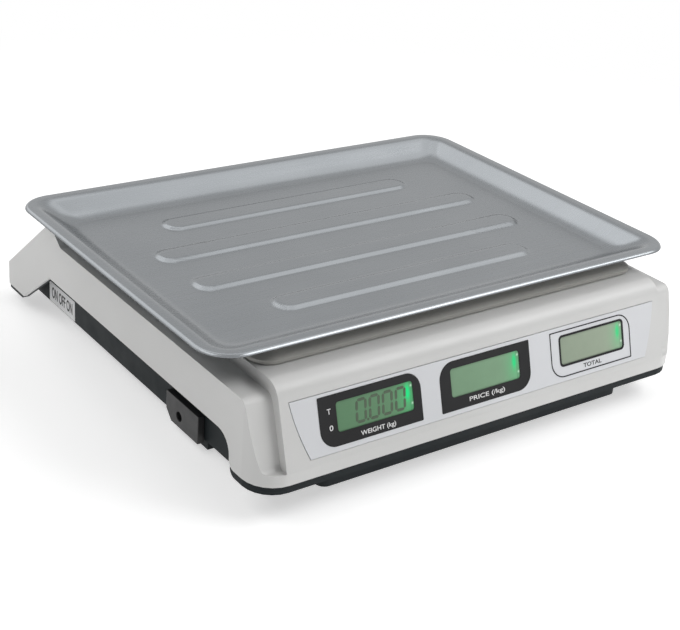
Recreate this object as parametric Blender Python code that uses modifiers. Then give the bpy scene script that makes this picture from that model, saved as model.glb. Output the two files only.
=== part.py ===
# Counter-top price computing scale with a lift-off stainless tray.
# Metres, +Z up. X runs along the displays, the customer stands at -Y and the vendor at +Y.
# The origin is on the surface the scale stands on, under the middle of the housing.
import math

import bmesh
import bpy
from mathutils import Matrix, Vector

# Fits
FIT_GAP = 0.0003            # between pieces that seat on each other
SLIDE_GAP = 0.0004          # round a key in its hole
PIVOT_GAP = 0.0001          # radial, round a turning pin or stud
BOLT_GAP = 0.0003           # radial, round a bolt or screw
ARC_STEPS = 6               # straight pieces in a bend that shows
SMALL_STEPS = 2             # straight pieces in a small or hidden bend
ROUND_SIDES = 16            # sides of a round pin, stud or hole

# Housing
BODY_WIDTH = 0.3148
BODY_DEPTH = 0.324
FRONT_CORNER_RADIUS = 0.0185
REAR_CORNER_RADIUS = 0.008
LEDGE_WIDTH = 0.0164        # each side ledge, beside the middle block that carries the display panel
BLOCK_TOP = 0.076           # height of the block's top
LEDGE_DROP = 0.0074         # from the block's top down to the side ledges
SHELL_WALL = 0.0025
BASE_UNDERSIDE = 0.008      # height of the base over the surface
SKIRT_LIFT = 0.0144         # front skirt's edge above the base's underside
LIP_HEIGHT = 0.0071         # upright lip below the display panel
PANEL_LEAN = math.radians(17.5)
PANEL_EDGE_RADIUS = 0.012
BAND_SET_BACK = 0.0062      # front bands beside the panel, behind its face
BAND_FOOT_RADIUS = 0.0045
LEDGE_EDGE_RADIUS = 0.006
POCKET_RADIUS = 0.012       # lower outer corner of each front band
POCKET_RISE = 0.0006
KEYPAD_RUN = 0.0687         # level run of the vendor slope, from the block's top to the rear face
KEYPAD_ANGLE = math.radians(38.3)
KEYPAD_STEP = 0.010         # the vendor end stands full width from this far before the slope
REAR_EDGE_LIFT = 0.0029     # rear skirt's edge above the base's underside

# Finger recess along each side
RECESS_DEPTH = 0.0154       # from the side of the body in to the wall of the base
RECESS_HEIGHT = 0.033
RECESS_FRONT_SET_BACK = 0.031
RECESS_FRONT_RADIUS = 0.012
RECESS_REAR_RUN = 0.0712    # recess's top rear corner, ahead of the rear face
RECESS_FOOT_RUN = 0.0263    # recess's rear foot, ahead of the rear face
RECESS_LIP_RADIUS = 0.005   # lower front corner, where the recess meets the skirt
RECESS_POCKET = 0.012       # behind the cheek's slanted edge, the hollow runs this much further back
RECESS_POCKET_LAP = 0.006

# Base
PAN_SET_BACK = 0.014        # front wall of the pan, behind the front face
PAN_CORNER_RADIUS = 0.008
BULGE_SIDE = 0.029          # from the pan's side in to the bulge, the lower front middle of the pan
BULGE_SET_BACK = 0.0075
BULGE_RADIUS = 0.00565
BASE_WALL = 0.0025
BASE_FLOOR = 0.003
WING_THICKNESS = 0.003      # roof of the finger recess
FLANGE_THICKNESS = 0.0046   # dark strip under the front skirt
FLANGE_INSET = 0.0008
FRONT_WALL_TOP = 0.029      # the base stays below the display modules

# Tray and what carries it
TRAY_WIDTH = 0.340
TRAY_DEPTH = 0.2455
TRAY_Y = -0.010             # middle of the tray, from the middle of the housing
TRAY_LIFT = 0.003           # tray floor above the block's top
TRAY_DISH = 0.010           # tray floor below its rim
TRAY_SHEET = 0.0008
TRAY_LIP = 0.0026
TRAY_FLANGE = 0.0085        # flat rim inside the lip
TRAY_WALL_RUN_X = 0.022     # from the rim's edge to the floor's crease
TRAY_WALL_RUN_Y = 0.0243
TRAY_CORNER_RADIUS = 0.021
TRAY_FLOOR_RADIUS = 0.010
BEAD_WIDTH = 0.020
BEAD_HEIGHT = 0.0015
BEAD_INNER_Y = 0.022
BEAD_OUTER_Y = 0.064
BEAD_INNER_LENGTH = 0.247
BEAD_OUTER_LENGTH = 0.192
CARRIER_SIDE = 0.001        # carrier's sides, in from the block's
CARRIER_SET_IN = 0.00275    # carrier's ends, in from the tray's
CARRIER_RADIUS = 0.012
CARRIER_SKIRT = 0.0022      # upright edge at the carrier's foot
CARRIER_TAPER = 0.010       # its wall leans in by this from the skirt to the top
CARRIER_TOP_RADIUS = 0.006
CARRIER_FOOT_GAP = 0.0006   # between the carrier's edge and the block's top
CARRIER_WALL_HEIGHT = 0.009
CARRIER_PLATE = 0.004
PLATE_RADIUS = 0.009
PLATE_POCKET_RADIUS = 0.006
WELL_SIDE = 0.015           # sunk area of the block's top, in from the block's sides
WELL_END = 0.0073           # and ahead of the vendor slope
WELL_RADIUS = 0.010
WELL_SINK = 0.007
WELL_CLEAR = 0.002          # under the carrier's plate
PAD_RADIUS = 0.009
PAD_SET_IN_X = 0.021        # pad's middle, in from the well's wall
PAD_SET_IN_Y = 0.024

# Load cell
CELL_LENGTH = 0.130
CELL_WIDTH = 0.030
CELL_HEIGHT = 0.022
CELL_UNDERSIDE = 0.030
CELL_HOLE_RADIUS = 0.0075
CELL_HOLE_SPREAD = 0.011
SPACER_LENGTH = 0.028
SPACER_HEIGHT = 0.0074
BOLT_RADIUS = 0.003
BOLT_HEAD_RADIUS = 0.005
BOLT_HEAD = 0.006
BOLT_PITCH = 0.015
BOLT_GRIP = 0.011           # bolt length inside the load cell
CELL_PAD_MARGIN = 0.002

# Customer panel, up the slope from the lip
OVERLAY_RISE = 0.0042
OVERLAY_HEIGHT = 0.0332
OVERLAY_TOP_SIDE = 0.0059   # overlay's upper corners, in from the block's sides
OVERLAY_FOOT_SIDE = 0.0155  # and its lower corners
OVERLAY_BOW = 0.0012        # outward bow of the overlay's sides
OVERLAY_SHEET = 0.001
OVERLAY_SINK = 0.001
WINDOW_WIDTH = 0.052
WINDOW_HEIGHT = 0.0175
WINDOW_RADIUS = 0.0015
WINDOW_SPREAD = 0.0812      # outer windows' middles, from the middle of the panel
WINDOW_SHIFT = -0.0031      # middle window, off the middle of the panel
WINDOW_RISE = 0.0185        # window centre above the overlay's foot
LCD_MARGIN = 0.004
LCD_THICKNESS = 0.005
BOARD_THICKNESS = 0.0016
BOARD_MARGIN = 0.004

# Vendor panel, down the slope from its top edge
KEY_SHEET_SIDE = 0.0154     # key sheet's sides, in from the body's
KEY_SHEET_START = 0.009
KEY_SHEET_LENGTH = 0.072
KEY_SHEET_RADIUS = 0.004
VENDOR_WINDOW_DOWN = 0.0205
VENDOR_WINDOW_SPREAD = 0.084
KEY_COLUMNS = 6
KEY_ROWS = 3
KEY_WIDTH = 0.022
KEY_HEIGHT = 0.0095
KEY_PITCH_X = 0.030
KEY_PITCH_Y = 0.0135
KEY_FIRST_DOWN = 0.0455
KEY_PROUD = 0.002
KEY_TRAVEL = 0.001
KEY_BEVEL = 0.0008
VENDOR_BOARD_SIDE = 0.018    # vendor board's ends, in from the key sheet's

# Feet, screws and inner pieces
FOOT_SIDE = 0.022           # feet, in from the pan's sides
FOOT_FRONT_RUN = 0.052      # and from the front and rear faces
FOOT_REAR_RUN = 0.030
FOOT_RADIUS = 0.010
FOOT_PAD = 0.006
STUD_RADIUS = 0.004
STUD_GRIP = 0.010
FOOT_BOSS_WALL = 0.004
POST_SIDE = 0.009           # screw posts, in from the pan's sides
POST_RUN = 0.062            # and from the front and rear faces
POST_RADIUS = 0.005
POST_SEAT = 0.016           # height of the base's screw bosses
SCREW_RADIUS = 0.00175
SCREW_HEAD_RADIUS = 0.0035
SCREW_HEAD = 0.003
SCREW_GRIP = 0.014
BATTERY_WIDTH = 0.106
BATTERY_DEPTH = 0.070
BATTERY_HEIGHT = 0.047
BATTERY_EDGE = 0.002
BATTERY_RUN = 0.034         # battery's front, behind the front face
DOOR_MARGIN = 0.005         # door edge over its opening
DOOR_TAB = 0.016            # door edge that takes its screw
DOOR_SHEET = 0.0012
OPENING_MARGIN = 0.006      # battery's sides over the edge of its opening
OPENING_END = 0.007
MAIN_BOARD_WIDTH = 0.100
MAIN_BOARD_DEPTH = 0.060
MAIN_BOARD_SIDE = 0.022     # board's edge, in from the pan's left side
MAIN_BOARD_RUN = 0.072      # and ahead of the rear face
MAIN_BOARD_SEAT = 0.0177
BOARD_POST_RADIUS = 0.003

# Power switch under the base
SWITCH_SIDE = 0.021         # switch's middle, in from the pan's left side
SWITCH_RUN = 0.058          # and ahead of the rear face
SWITCH_WIDTH = 0.013
SWITCH_LENGTH = 0.019
SWITCH_RIM = 0.0012
SWITCH_RIM_SHEET = 0.0012
SWITCH_BODY_HEIGHT = 0.012
SWITCH_WALL = 0.0012
ROCKER_PIVOT_Z = 0.0095
ROCKER_PIN_RADIUS = 0.001
ROCKER_PROUD = 0.0016
ROCKER_SWING = math.radians(10)

# Charger socket in the left recess
SOCKET_RUN = 0.0998         # socket's middle, behind the front face
SOCKET_LENGTH = 0.0365
SOCKET_TOP = 0.0235
SOCKET_DROP = 0.0022        # hangs below the base's underside
SOCKET_DEPTH = 0.0045
SOCKET_CHAMFER = 0.006
JACK_SHIFT = 0.0033         # jack, off the socket's middle
JACK_Z = 0.0129
JACK_RADIUS = 0.0031
BARREL_WALL = 0.0008
BULGE_DROP = 0.0058         # pad under the base beside the socket
BULGE_PAD_RUN = 0.079       # pad's front end, behind the front face
BULGE_PAD_X = 0.014
BULGE_PAD_Y = 0.023

# Worked-out levels and places
SKIRT_Z = BASE_UNDERSIDE + SKIRT_LIFT
LIP_Z = SKIRT_Z + LIP_HEIGHT
LEDGE_Z = BLOCK_TOP - LEDGE_DROP
RECESS_Z = BASE_UNDERSIDE + RECESS_HEIGHT
REAR_Z = BASE_UNDERSIDE + REAR_EDGE_LIFT
WING_Z = RECESS_Z + WING_THICKNESS
FLOOR_Z = BASE_UNDERSIDE + BASE_FLOOR
FLANGE_Z = SKIRT_Z - FIT_GAP - FLANGE_THICKNESS
TRAY_FLOOR_Z = BLOCK_TOP + TRAY_LIFT
TRAY_RIM_Z = TRAY_FLOOR_Z + TRAY_DISH
WELL_Z = BLOCK_TOP - WELL_SINK
PLATE_UNDER_Z = WELL_Z + WELL_CLEAR
PLATE_Z = PLATE_UNDER_Z + CARRIER_PLATE
CELL_TOP = CELL_UNDERSIDE + CELL_HEIGHT
CELL_FIXED_X = -(CELL_LENGTH - SPACER_LENGTH) / 2 + CELL_PAD_MARGIN
CELL_FREE_X = -CELL_FIXED_X
FRONT_Y = -BODY_DEPTH / 2
REAR_Y = BODY_DEPTH / 2
BLOCK_WIDTH = BODY_WIDTH - 2 * LEDGE_WIDTH
KEYPAD_START = REAR_Y - KEYPAD_RUN
RECESS_FRONT = FRONT_Y + RECESS_FRONT_SET_BACK
RECESS_REAR_TOP = REAR_Y - RECESS_REAR_RUN
RECESS_REAR_FOOT = REAR_Y - RECESS_FOOT_RUN
PAN_WIDTH = BODY_WIDTH - 2 * RECESS_DEPTH
PAN_FRONT = FRONT_Y + PAN_SET_BACK
BULGE_WIDTH = PAN_WIDTH - 2 * BULGE_SIDE
BULGE_FRONT = FRONT_Y + BULGE_SET_BACK
CARRIER_WIDTH = BLOCK_WIDTH - 2 * CARRIER_SIDE
CARRIER_DEPTH = TRAY_DEPTH - 2 * CARRIER_SET_IN
WELL_WIDTH = BLOCK_WIDTH - 2 * WELL_SIDE
WELL_DEPTH_Y = 2 * (KEYPAD_START - WELL_END - TRAY_Y)
PAD_X = WELL_WIDTH / 2 - PAD_SET_IN_X
PAD_Y = WELL_DEPTH_Y / 2 - PAD_SET_IN_Y
OVERLAY_TOP_WIDTH = BLOCK_WIDTH - 2 * OVERLAY_TOP_SIDE
OVERLAY_FOOT_WIDTH = BLOCK_WIDTH - 2 * OVERLAY_FOOT_SIDE
WINDOW_X = (-WINDOW_SPREAD, WINDOW_SHIFT, WINDOW_SPREAD)
KEY_SHEET_WIDTH = BODY_WIDTH - 2 * KEY_SHEET_SIDE
VENDOR_BOARD_WIDTH = KEY_SHEET_WIDTH - 2 * VENDOR_BOARD_SIDE
VENDOR_WINDOW_X = (-VENDOR_WINDOW_SPREAD, 0.0, VENDOR_WINDOW_SPREAD)
FOOT_X = PAN_WIDTH / 2 - FOOT_SIDE
FOOT_FRONT_Y = FRONT_Y + FOOT_FRONT_RUN
FOOT_REAR_Y = REAR_Y - FOOT_REAR_RUN
POST_X = PAN_WIDTH / 2 - POST_SIDE
POST_FRONT_Y = FRONT_Y + POST_RUN
POST_REAR_Y = REAR_Y - POST_RUN
BATTERY_Y = FRONT_Y + BATTERY_RUN + BATTERY_DEPTH / 2
OPENING_WIDTH = BATTERY_WIDTH - 2 * OPENING_MARGIN
OPENING_DEPTH = BATTERY_DEPTH - 2 * OPENING_END
MAIN_BOARD_X = -PAN_WIDTH / 2 + MAIN_BOARD_SIDE + MAIN_BOARD_WIDTH / 2
MAIN_BOARD_Y = REAR_Y - MAIN_BOARD_RUN - MAIN_BOARD_DEPTH / 2
SWITCH_X = -PAN_WIDTH / 2 + SWITCH_SIDE
SWITCH_Y = REAR_Y - SWITCH_RUN
SOCKET_Y = FRONT_Y + SOCKET_RUN
JACK_Y = SOCKET_Y + JACK_SHIFT
OVERSIZE = 0.001            # forms run past the plan outline that trims them
BELOW = -0.02               # cutters run down to here
ABOVE = 0.12                # and up to here


# Collections, objects and modifiers
def new_collection(name):
    collection = bpy.data.collections.new(name)
    bpy.context.scene.collection.children.link(collection)
    return collection


def make_material(name, colour, roughness, metallic):
    material = bpy.data.materials.new(name)
    material.use_nodes = True
    shader = material.node_tree.nodes["Principled BSDF"]
    shader.inputs["Base Color"].default_value = (*colour, 1.0)
    shader.inputs["Roughness"].default_value = roughness
    shader.inputs["Metallic"].default_value = metallic
    return material


def make_object(name, bm, frame=None):
    bmesh.ops.recalc_face_normals(bm, faces=bm.faces)
    mesh = bpy.data.meshes.new(name)
    bm.to_mesh(mesh)
    bm.free()
    obj = bpy.data.objects.new(name, mesh)
    obj.parent = frame
    return obj


def add_part(name, bm, finish, frame=None, place=(0.0, 0.0, 0.0)):
    obj = make_object(name, bm, frame)
    obj.location = place
    parts.objects.link(obj)
    obj.data.materials.append(make_material(name, *finish))
    return obj


def add_cutter(name, bm, frame=None, place=(0.0, 0.0, 0.0)):
    obj = make_object(name, bm, frame)
    obj.location = place
    cutters.objects.link(obj)
    obj.hide_render = True
    obj.display_type = "WIRE"
    return obj


def combine(target, other, operation):
    modifier = target.modifiers.new(other.name, "BOOLEAN")
    modifier.operation = operation
    modifier.solver = "EXACT"
    modifier.object = other


def smooth_round(obj):
    obj.data.shade_smooth()
    obj.data.set_sharp_from_angle(angle=math.radians(35))


# Outlines and solids
def rounded_outline(corners, steps=ARC_STEPS):
    """Closed outline through (u, v, radius) corners, with each corner turned by an arc."""
    points = []
    count = len(corners)
    for index, (u, v, radius) in enumerate(corners):
        corner = Vector((u, v))
        before = Vector(corners[index - 1][:2]) - corner
        after = Vector(corners[(index + 1) % count][:2]) - corner
        if radius == 0:
            points.append(corner)
            continue
        points += arc_in_corner(corner, before, after, radius, steps)
    return points


def arc_in_corner(corner, before, after, radius, steps=ARC_STEPS):
    half = before.angle(after) / 2
    reach = radius / math.tan(half)
    centre = corner + (before.normalized() + after.normalized()).normalized() * radius / math.sin(half)
    start = corner + before.normalized() * reach - centre
    end = corner + after.normalized() * reach - centre
    turn = start.angle_signed(end)
    return [centre + Matrix.Rotation(-turn * step / steps, 2) @ start for step in range(steps + 1)]


def add_prism(bm, outline, axis, low, high):
    """Extrude a (u, v) outline along X, Y or Z from low to high."""
    place = {
        "X": lambda u, v: (low, u, v),
        "Y": lambda u, v: (u, low, v),
        "Z": lambda u, v: (u, v, low),
    }[axis]
    face = bm.faces.new([bm.verts.new(place(u, v)) for u, v in outline])
    grown = bmesh.ops.extrude_face_region(bm, geom=[face])
    moved = [item for item in grown["geom"] if isinstance(item, bmesh.types.BMVert)]
    shift = Vector([high - low if name == axis else 0.0 for name in "XYZ"])
    bmesh.ops.translate(bm, verts=moved, vec=shift)


def prism(outline, axis, low, high):
    bm = bmesh.new()
    add_prism(bm, outline, axis, low, high)
    return bm


def rectangle(low_u, low_v, high_u, high_v, radius=0.0, steps=SMALL_STEPS):
    return rounded_outline([
        (low_u, low_v, radius), (high_u, low_v, radius),
        (high_u, high_v, radius), (low_u, high_v, radius),
    ], steps)


def add_box(bm, low, high):
    size = Vector(high) - Vector(low)
    centre = (Vector(high) + Vector(low)) / 2
    matrix = Matrix.Translation(centre) @ Matrix.Diagonal((*size, 1.0))
    bmesh.ops.create_cube(bm, size=1.0, matrix=matrix)


def box(low, high):
    bm = bmesh.new()
    add_box(bm, low, high)
    return bm


def add_cylinder(bm, centre, radius, low, high, axis="Z", sides=ROUND_SIDES):
    """Cylinder round an axis through centre, from low to high along that axis."""
    turn = {"X": Matrix.Rotation(math.pi / 2, 4, "Y"), "Y": Matrix.Rotation(-math.pi / 2, 4, "X"),
            "Z": Matrix.Identity(4)}[axis]
    middle = Vector(centre)
    middle["XYZ".index(axis)] = (low + high) / 2
    bmesh.ops.create_cone(bm, cap_ends=True, segments=sides, radius1=radius, radius2=radius,
                          depth=high - low, matrix=Matrix.Translation(middle) @ turn)


def add_loft(bm, loops):
    """Skin closed loops of equal count and cap both ends."""
    rings = [[bm.verts.new(point) for point in loop] for loop in loops]
    for lower, upper in zip(rings, rings[1:]):
        for index in range(len(lower)):
            nearby = (index + 1) % len(lower)
            bm.faces.new((lower[index], lower[nearby], upper[nearby], upper[index]))
    bm.faces.new(reversed(rings[0]))
    bm.faces.new(rings[-1])


def offset_line(points, distance):
    """Move an open polyline to its right by distance, keeping its corners mitred."""
    normals = []
    for start, end in zip(points, points[1:]):
        along = (end - start).normalized()
        normals.append(Vector((along.y, -along.x)))
    moved = [points[0] + normals[0] * distance]
    for point, before, after in zip(points[1:-1], normals, normals[1:]):
        moved.append(point + (before + after) * distance / (1 + before.dot(after)))
    return moved + [points[-1] + normals[-1] * distance]


# The housing's form: one side profile for the middle block and one for the cheeks beside it
def panel_y(z):
    return FRONT_Y + (z - LIP_Z) * math.tan(PANEL_LEAN)


def slope_z(y):
    return BLOCK_TOP - (y - KEYPAD_START) * math.tan(KEYPAD_ANGLE)


def profile_arc(before, corner, after, radius):
    corner = Vector(corner)
    return arc_in_corner(corner, Vector(before) - corner, Vector(after) - corner, radius)


def lip_points():
    """Front lip, up to where the panel's plane would leave it."""
    front = FRONT_Y - OVERSIZE
    return [Vector((front, SKIRT_Z)), Vector((front, LIP_Z - OVERSIZE / math.tan(PANEL_LEAN)))]


def rear_points():
    rear = REAR_Y + OVERSIZE
    return [Vector((KEYPAD_START, BLOCK_TOP)), Vector((rear, slope_z(rear))), Vector((rear, REAR_Z))]


def block_profile():
    """Front lip, leaning panel, rounded top edge, flat top, vendor slope."""
    foot = (FRONT_Y, LIP_Z)
    top = (panel_y(BLOCK_TOP), BLOCK_TOP)
    edge = profile_arc(foot, top, (0.0, BLOCK_TOP), PANEL_EDGE_RADIUS)
    panel = [Vector(foot).lerp(edge[0], (step + 1) / (ARC_STEPS + 2)) for step in range(ARC_STEPS + 1)]
    step_y = KEYPAD_START - KEYPAD_STEP
    flat = [Vector((step_y - KEYPAD_STEP, BLOCK_TOP)), Vector((step_y, BLOCK_TOP))]
    return [*lip_points(), Vector(foot), *panel, *edge, *flat, *rear_points()]


def cheek_profile():
    """Front lip, set-back band with a hollow foot, rounded ledge edge, ledge, vendor end."""
    shelf = (panel_y(LIP_Z) + BAND_SET_BACK, LIP_Z)
    top = (panel_y(LEDGE_Z) + BAND_SET_BACK, LEDGE_Z)
    foot = profile_arc((FRONT_Y - OVERSIZE, LIP_Z), shelf, top, BAND_FOOT_RADIUS)
    edge = profile_arc(shelf, top, (0.0, LEDGE_Z), LEDGE_EDGE_RADIUS)
    step_y = KEYPAD_START - KEYPAD_STEP
    flat = [Vector((step_y - KEYPAD_STEP, LEDGE_Z)), Vector((step_y, BLOCK_TOP))]
    return [*lip_points(), Vector((FRONT_Y - OVERSIZE, LIP_Z)), *foot, *edge, *flat, *rear_points()]


def recess_edge(foot_z):
    """Lower edge from the rear foot, round the finger recess, to the front strip at the given height."""
    bend = profile_arc((RECESS_REAR_TOP, RECESS_Z), (RECESS_FRONT, RECESS_Z),
                       (RECESS_FRONT, foot_z), RECESS_FRONT_RADIUS)
    lip = profile_arc((RECESS_FRONT, RECESS_Z), (RECESS_FRONT, foot_z), (FRONT_Y, foot_z), RECESS_LIP_RADIUS)
    slant = (RECESS_REAR_FOOT - RECESS_REAR_TOP) / RECESS_HEIGHT
    foot_y = RECESS_REAR_FOOT - (REAR_Z - BASE_UNDERSIDE) * slant
    return [Vector((foot_y, REAR_Z)), Vector((RECESS_REAR_TOP, RECESS_Z)), *bend, *lip]


def open_bottom(line):
    return [Vector((line[-1].x, BELOW)), Vector((line[0].x, BELOW))]


def body_form(inset, lower_edge=None):
    """Solid form of the housing, set in from its outside, trimmed to the plan outline."""
    half_block = BLOCK_WIDTH / 2 - inset
    half_body = BODY_WIDTH / 2 + OVERSIZE
    cheek = offset_line(cheek_profile(), inset)
    block = offset_line(block_profile(), inset)
    cheek[1] = block[1]
    block[-4] = cheek[-4]
    cheek += lower_edge or open_bottom(cheek)
    block += lower_edge or open_bottom(block)
    sections = [(-half_body, cheek), (-half_block, cheek), (-half_block, block),
                (half_block, block), (half_block, cheek), (half_body, cheek)]
    bm = bmesh.new()
    add_loft(bm, [[(x, point.x, point.y) for point in line] for x, line in sections])
    bmesh.ops.remove_doubles(bm, verts=bm.verts, dist=1e-6)
    bmesh.ops.dissolve_degenerate(bm, edges=bm.edges, dist=1e-6)
    return bm


def plan_outline(inset):
    half = BODY_WIDTH / 2 - inset
    front = FRONT_CORNER_RADIUS - inset
    rear = REAR_CORNER_RADIUS - inset
    return rounded_outline([
        (-half, FRONT_Y + inset, front), (half, FRONT_Y + inset, front),
        (half, REAR_Y - inset, rear), (-half, REAR_Y - inset, rear),
    ])


def pocket_corners():
    """Fill between the set-back band and the lip at each lower outer corner of the front."""
    outer = BODY_WIDTH / 2 + OVERSIZE
    inner = outer - POCKET_RADIUS
    bm = bmesh.new()
    for side in (-1, 1):
        corner = Vector((side * outer, POCKET_RISE))
        bend = arc_in_corner(corner, Vector((0, 1)), Vector((-side, 0)), POCKET_RADIUS)
        foot = [Vector((side * inner, -POCKET_RADIUS / 4)), Vector((side * outer, -POCKET_RADIUS / 4))]
        add_prism(bm, foot + bend, "Z", -2 * BAND_SET_BACK, 0.0)
    return bm


# Shell
def window_cutters(bm, centres_x, centre_v, low, high):
    for x in centres_x:
        outline = rectangle(x - WINDOW_WIDTH / 2, centre_v - WINDOW_HEIGHT / 2,
                            x + WINDOW_WIDTH / 2, centre_v + WINDOW_HEIGHT / 2, WINDOW_RADIUS)
        add_prism(bm, outline, "Z", low, high)


def key_centres():
    for row in range(KEY_ROWS):
        for column in range(KEY_COLUMNS):
            x = (column - (KEY_COLUMNS - 1) / 2) * KEY_PITCH_X
            yield row, column, x, KEY_FIRST_DOWN + row * KEY_PITCH_Y


def key_holes(bm, low, high):
    for row, column, x, down in key_centres():
        half_x = KEY_WIDTH / 2 + SLIDE_GAP
        half_y = KEY_HEIGHT / 2 + SLIDE_GAP
        add_box(bm, (x - half_x, down - half_y, low), (x + half_x, down + half_y, high))


def overlay_outline(grow):
    """Customer overlay: wider at the top, with bowed sides; local X and up the slope."""
    right = []
    for step in range(ARC_STEPS + 1):
        share = step / ARC_STEPS
        half = OVERLAY_FOOT_WIDTH / 2 + (OVERLAY_TOP_WIDTH - OVERLAY_FOOT_WIDTH) / 2 * share
        bow = OVERLAY_BOW * 4 * share * (1 - share)
        rise = OVERLAY_RISE - grow + (OVERLAY_HEIGHT + 2 * grow) * share
        right.append(Vector((half + bow + grow, rise)))
    left = [Vector((-point.x, point.y)) for point in reversed(right)]
    return right + left


def key_sheet_outline(grow):
    half = KEY_SHEET_WIDTH / 2 + grow
    end = KEY_SHEET_START + KEY_SHEET_LENGTH + grow
    return rectangle(-half, KEY_SHEET_START - grow, half, end, KEY_SHEET_RADIUS + grow)


def post_places():
    return [("front_left", -POST_X, POST_FRONT_Y), ("front_right", POST_X, POST_FRONT_Y),
            ("rear_left", -POST_X, POST_REAR_Y), ("rear_right", POST_X, POST_REAR_Y)]


def post_top(y):
    return min(BLOCK_TOP, slope_z(y + POST_RADIUS)) - SHELL_WALL / 2


def screw_posts():
    bm = bmesh.new()
    for label, x, y in post_places():
        add_cylinder(bm, (x, y, 0.0), POST_RADIUS, POST_SEAT + FIT_GAP, post_top(y))
    return bm


def post_holes():
    bm = bmesh.new()
    depth = POST_SEAT + FIT_GAP + SCREW_GRIP + SCREW_HEAD
    for label, x, y in post_places():
        add_cylinder(bm, (x, y, 0.0), SCREW_RADIUS + BOLT_GAP, BELOW, depth)
    return bm


def well_outline(grow):
    half_x = WELL_WIDTH / 2 + grow
    half_y = WELL_DEPTH_Y / 2 + grow
    return rectangle(-half_x, TRAY_Y - half_y, half_x, TRAY_Y + half_y, WELL_RADIUS + grow)


def boss_low_high():
    half_x = SPACER_LENGTH / 2 + CELL_PAD_MARGIN
    half_y = CELL_WIDTH / 2 + CELL_PAD_MARGIN / 2
    return (CELL_FREE_X - half_x, TRAY_Y - half_y), (CELL_FREE_X + half_x, TRAY_Y + half_y)


def build_shell():
    shell = add_part("top_shell", body_form(0.0, recess_edge(SKIRT_Z)), PLASTIC_WHITE)
    combine(shell, add_cutter("pocket_corners", pocket_corners(), panel), "UNION")
    combine(shell, add_cutter("plan_trim", prism(plan_outline(0.0), "Z", BELOW, ABOVE)), "INTERSECT")

    cavity = add_cutter("shell_cavity", body_form(SHELL_WALL))
    trim = add_cutter("cavity_trim", prism(plan_outline(SHELL_WALL), "Z", BELOW / 2, ABOVE))
    combine(cavity, trim, "INTERSECT")
    well_wall = add_cutter("well_wall", prism(well_outline(SHELL_WALL), "Z", WELL_Z - SHELL_WALL, ABOVE))
    combine(cavity, well_wall, "DIFFERENCE")
    combine(shell, cavity, "DIFFERENCE")
    combine(shell, add_cutter("screw_posts", screw_posts()), "UNION")

    combine(shell, add_cutter("well", prism(well_outline(0.0), "Z", WELL_Z, ABOVE)), "DIFFERENCE")
    low, high = boss_low_high()
    room = Vector((WELL_CLEAR, WELL_CLEAR)) * 2
    way = box((*(Vector(low) - room), WELL_Z - 2 * SHELL_WALL), (*(Vector(high) + room), WELL_Z + SHELL_WALL))
    combine(shell, add_cutter("boss_way", way), "DIFFERENCE")
    combine(shell, add_cutter("post_holes", post_holes()), "DIFFERENCE")

    pocket = prism(overlay_outline(FIT_GAP), "Z", -OVERLAY_SINK, SHELL_WALL)
    combine(shell, add_cutter("overlay_pocket", pocket, panel), "DIFFERENCE")
    windows = bmesh.new()
    window_cutters(windows, WINDOW_X, OVERLAY_RISE + WINDOW_RISE, -2 * SHELL_WALL, SHELL_WALL)
    windows = add_cutter("customer_windows", windows, panel)
    combine(shell, windows, "DIFFERENCE")

    pocket = prism(key_sheet_outline(FIT_GAP), "Z", -OVERLAY_SINK, SHELL_WALL)
    combine(shell, add_cutter("key_sheet_pocket", pocket, keypad), "DIFFERENCE")
    holes = bmesh.new()
    window_cutters(holes, VENDOR_WINDOW_X, VENDOR_WINDOW_DOWN, -2 * SHELL_WALL, SHELL_WALL)
    key_holes(holes, -2 * SHELL_WALL, SHELL_WALL)
    holes = add_cutter("vendor_holes", holes, keypad)
    combine(shell, holes, "DIFFERENCE")
    return windows, holes


# Base
def front_flange():
    half = BODY_WIDTH / 2 - FLANGE_INSET
    front = FRONT_Y + FLANGE_INSET
    radius = FRONT_CORNER_RADIUS - FLANGE_INSET
    outline = rounded_outline([(-half, RECESS_FRONT, 0), (-half, front, radius),
                               (half, front, radius), (half, RECESS_FRONT, 0)])
    return prism(outline, "Z", FLANGE_Z - BASE_WALL, SKIRT_Z - FIT_GAP)


def rear_flange():
    half = BODY_WIDTH / 2 - FLANGE_INSET
    rear = REAR_Y - FLANGE_INSET
    radius = REAR_CORNER_RADIUS - FLANGE_INSET
    outline = rounded_outline([(half, RECESS_REAR_TOP, 0), (half, rear, radius),
                               (-half, rear, radius), (-half, RECESS_REAR_TOP, 0)])
    return prism(outline, "Z", BASE_UNDERSIDE - BASE_WALL, REAR_Z - FIT_GAP)


def recess_cutters():
    """Hollow of each finger recess, and the step up under the front corners."""
    edge = recess_edge(FLANGE_Z)
    slant = (edge[0] - edge[1]).normalized()
    foot = edge[0] + slant * BASE_UNDERSIDE * 2
    outline = [foot, *edge[1:], Vector((2 * FRONT_Y, FLANGE_Z)), Vector((2 * FRONT_Y, foot.y))]
    bm = bmesh.new()
    add_prism(bm, outline, "X", PAN_WIDTH / 2, BODY_WIDTH)
    add_prism(bm, outline, "X", -BODY_WIDTH, -PAN_WIDTH / 2)
    return bm


def recess_pockets():
    """Rear end of each finger recess, hollow behind the skin of the cheek."""
    foot, top = recess_edge(FLANGE_Z)[:2]
    slant = (foot - top).normalized()
    foot = foot + slant * BASE_UNDERSIDE * 2
    back = Vector((RECESS_POCKET, 0.0))
    lap = top.x - RECESS_POCKET_LAP
    outline = [foot + back, top + back, Vector((lap, top.y)), Vector((lap, foot.y))]
    skin = BODY_WIDTH / 2 - SHELL_WALL - FIT_GAP - BASE_WALL
    bm = bmesh.new()
    add_prism(bm, outline, "X", PAN_WIDTH / 2, skin)
    add_prism(bm, outline, "X", -skin, -PAN_WIDTH / 2)
    return bm


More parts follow.
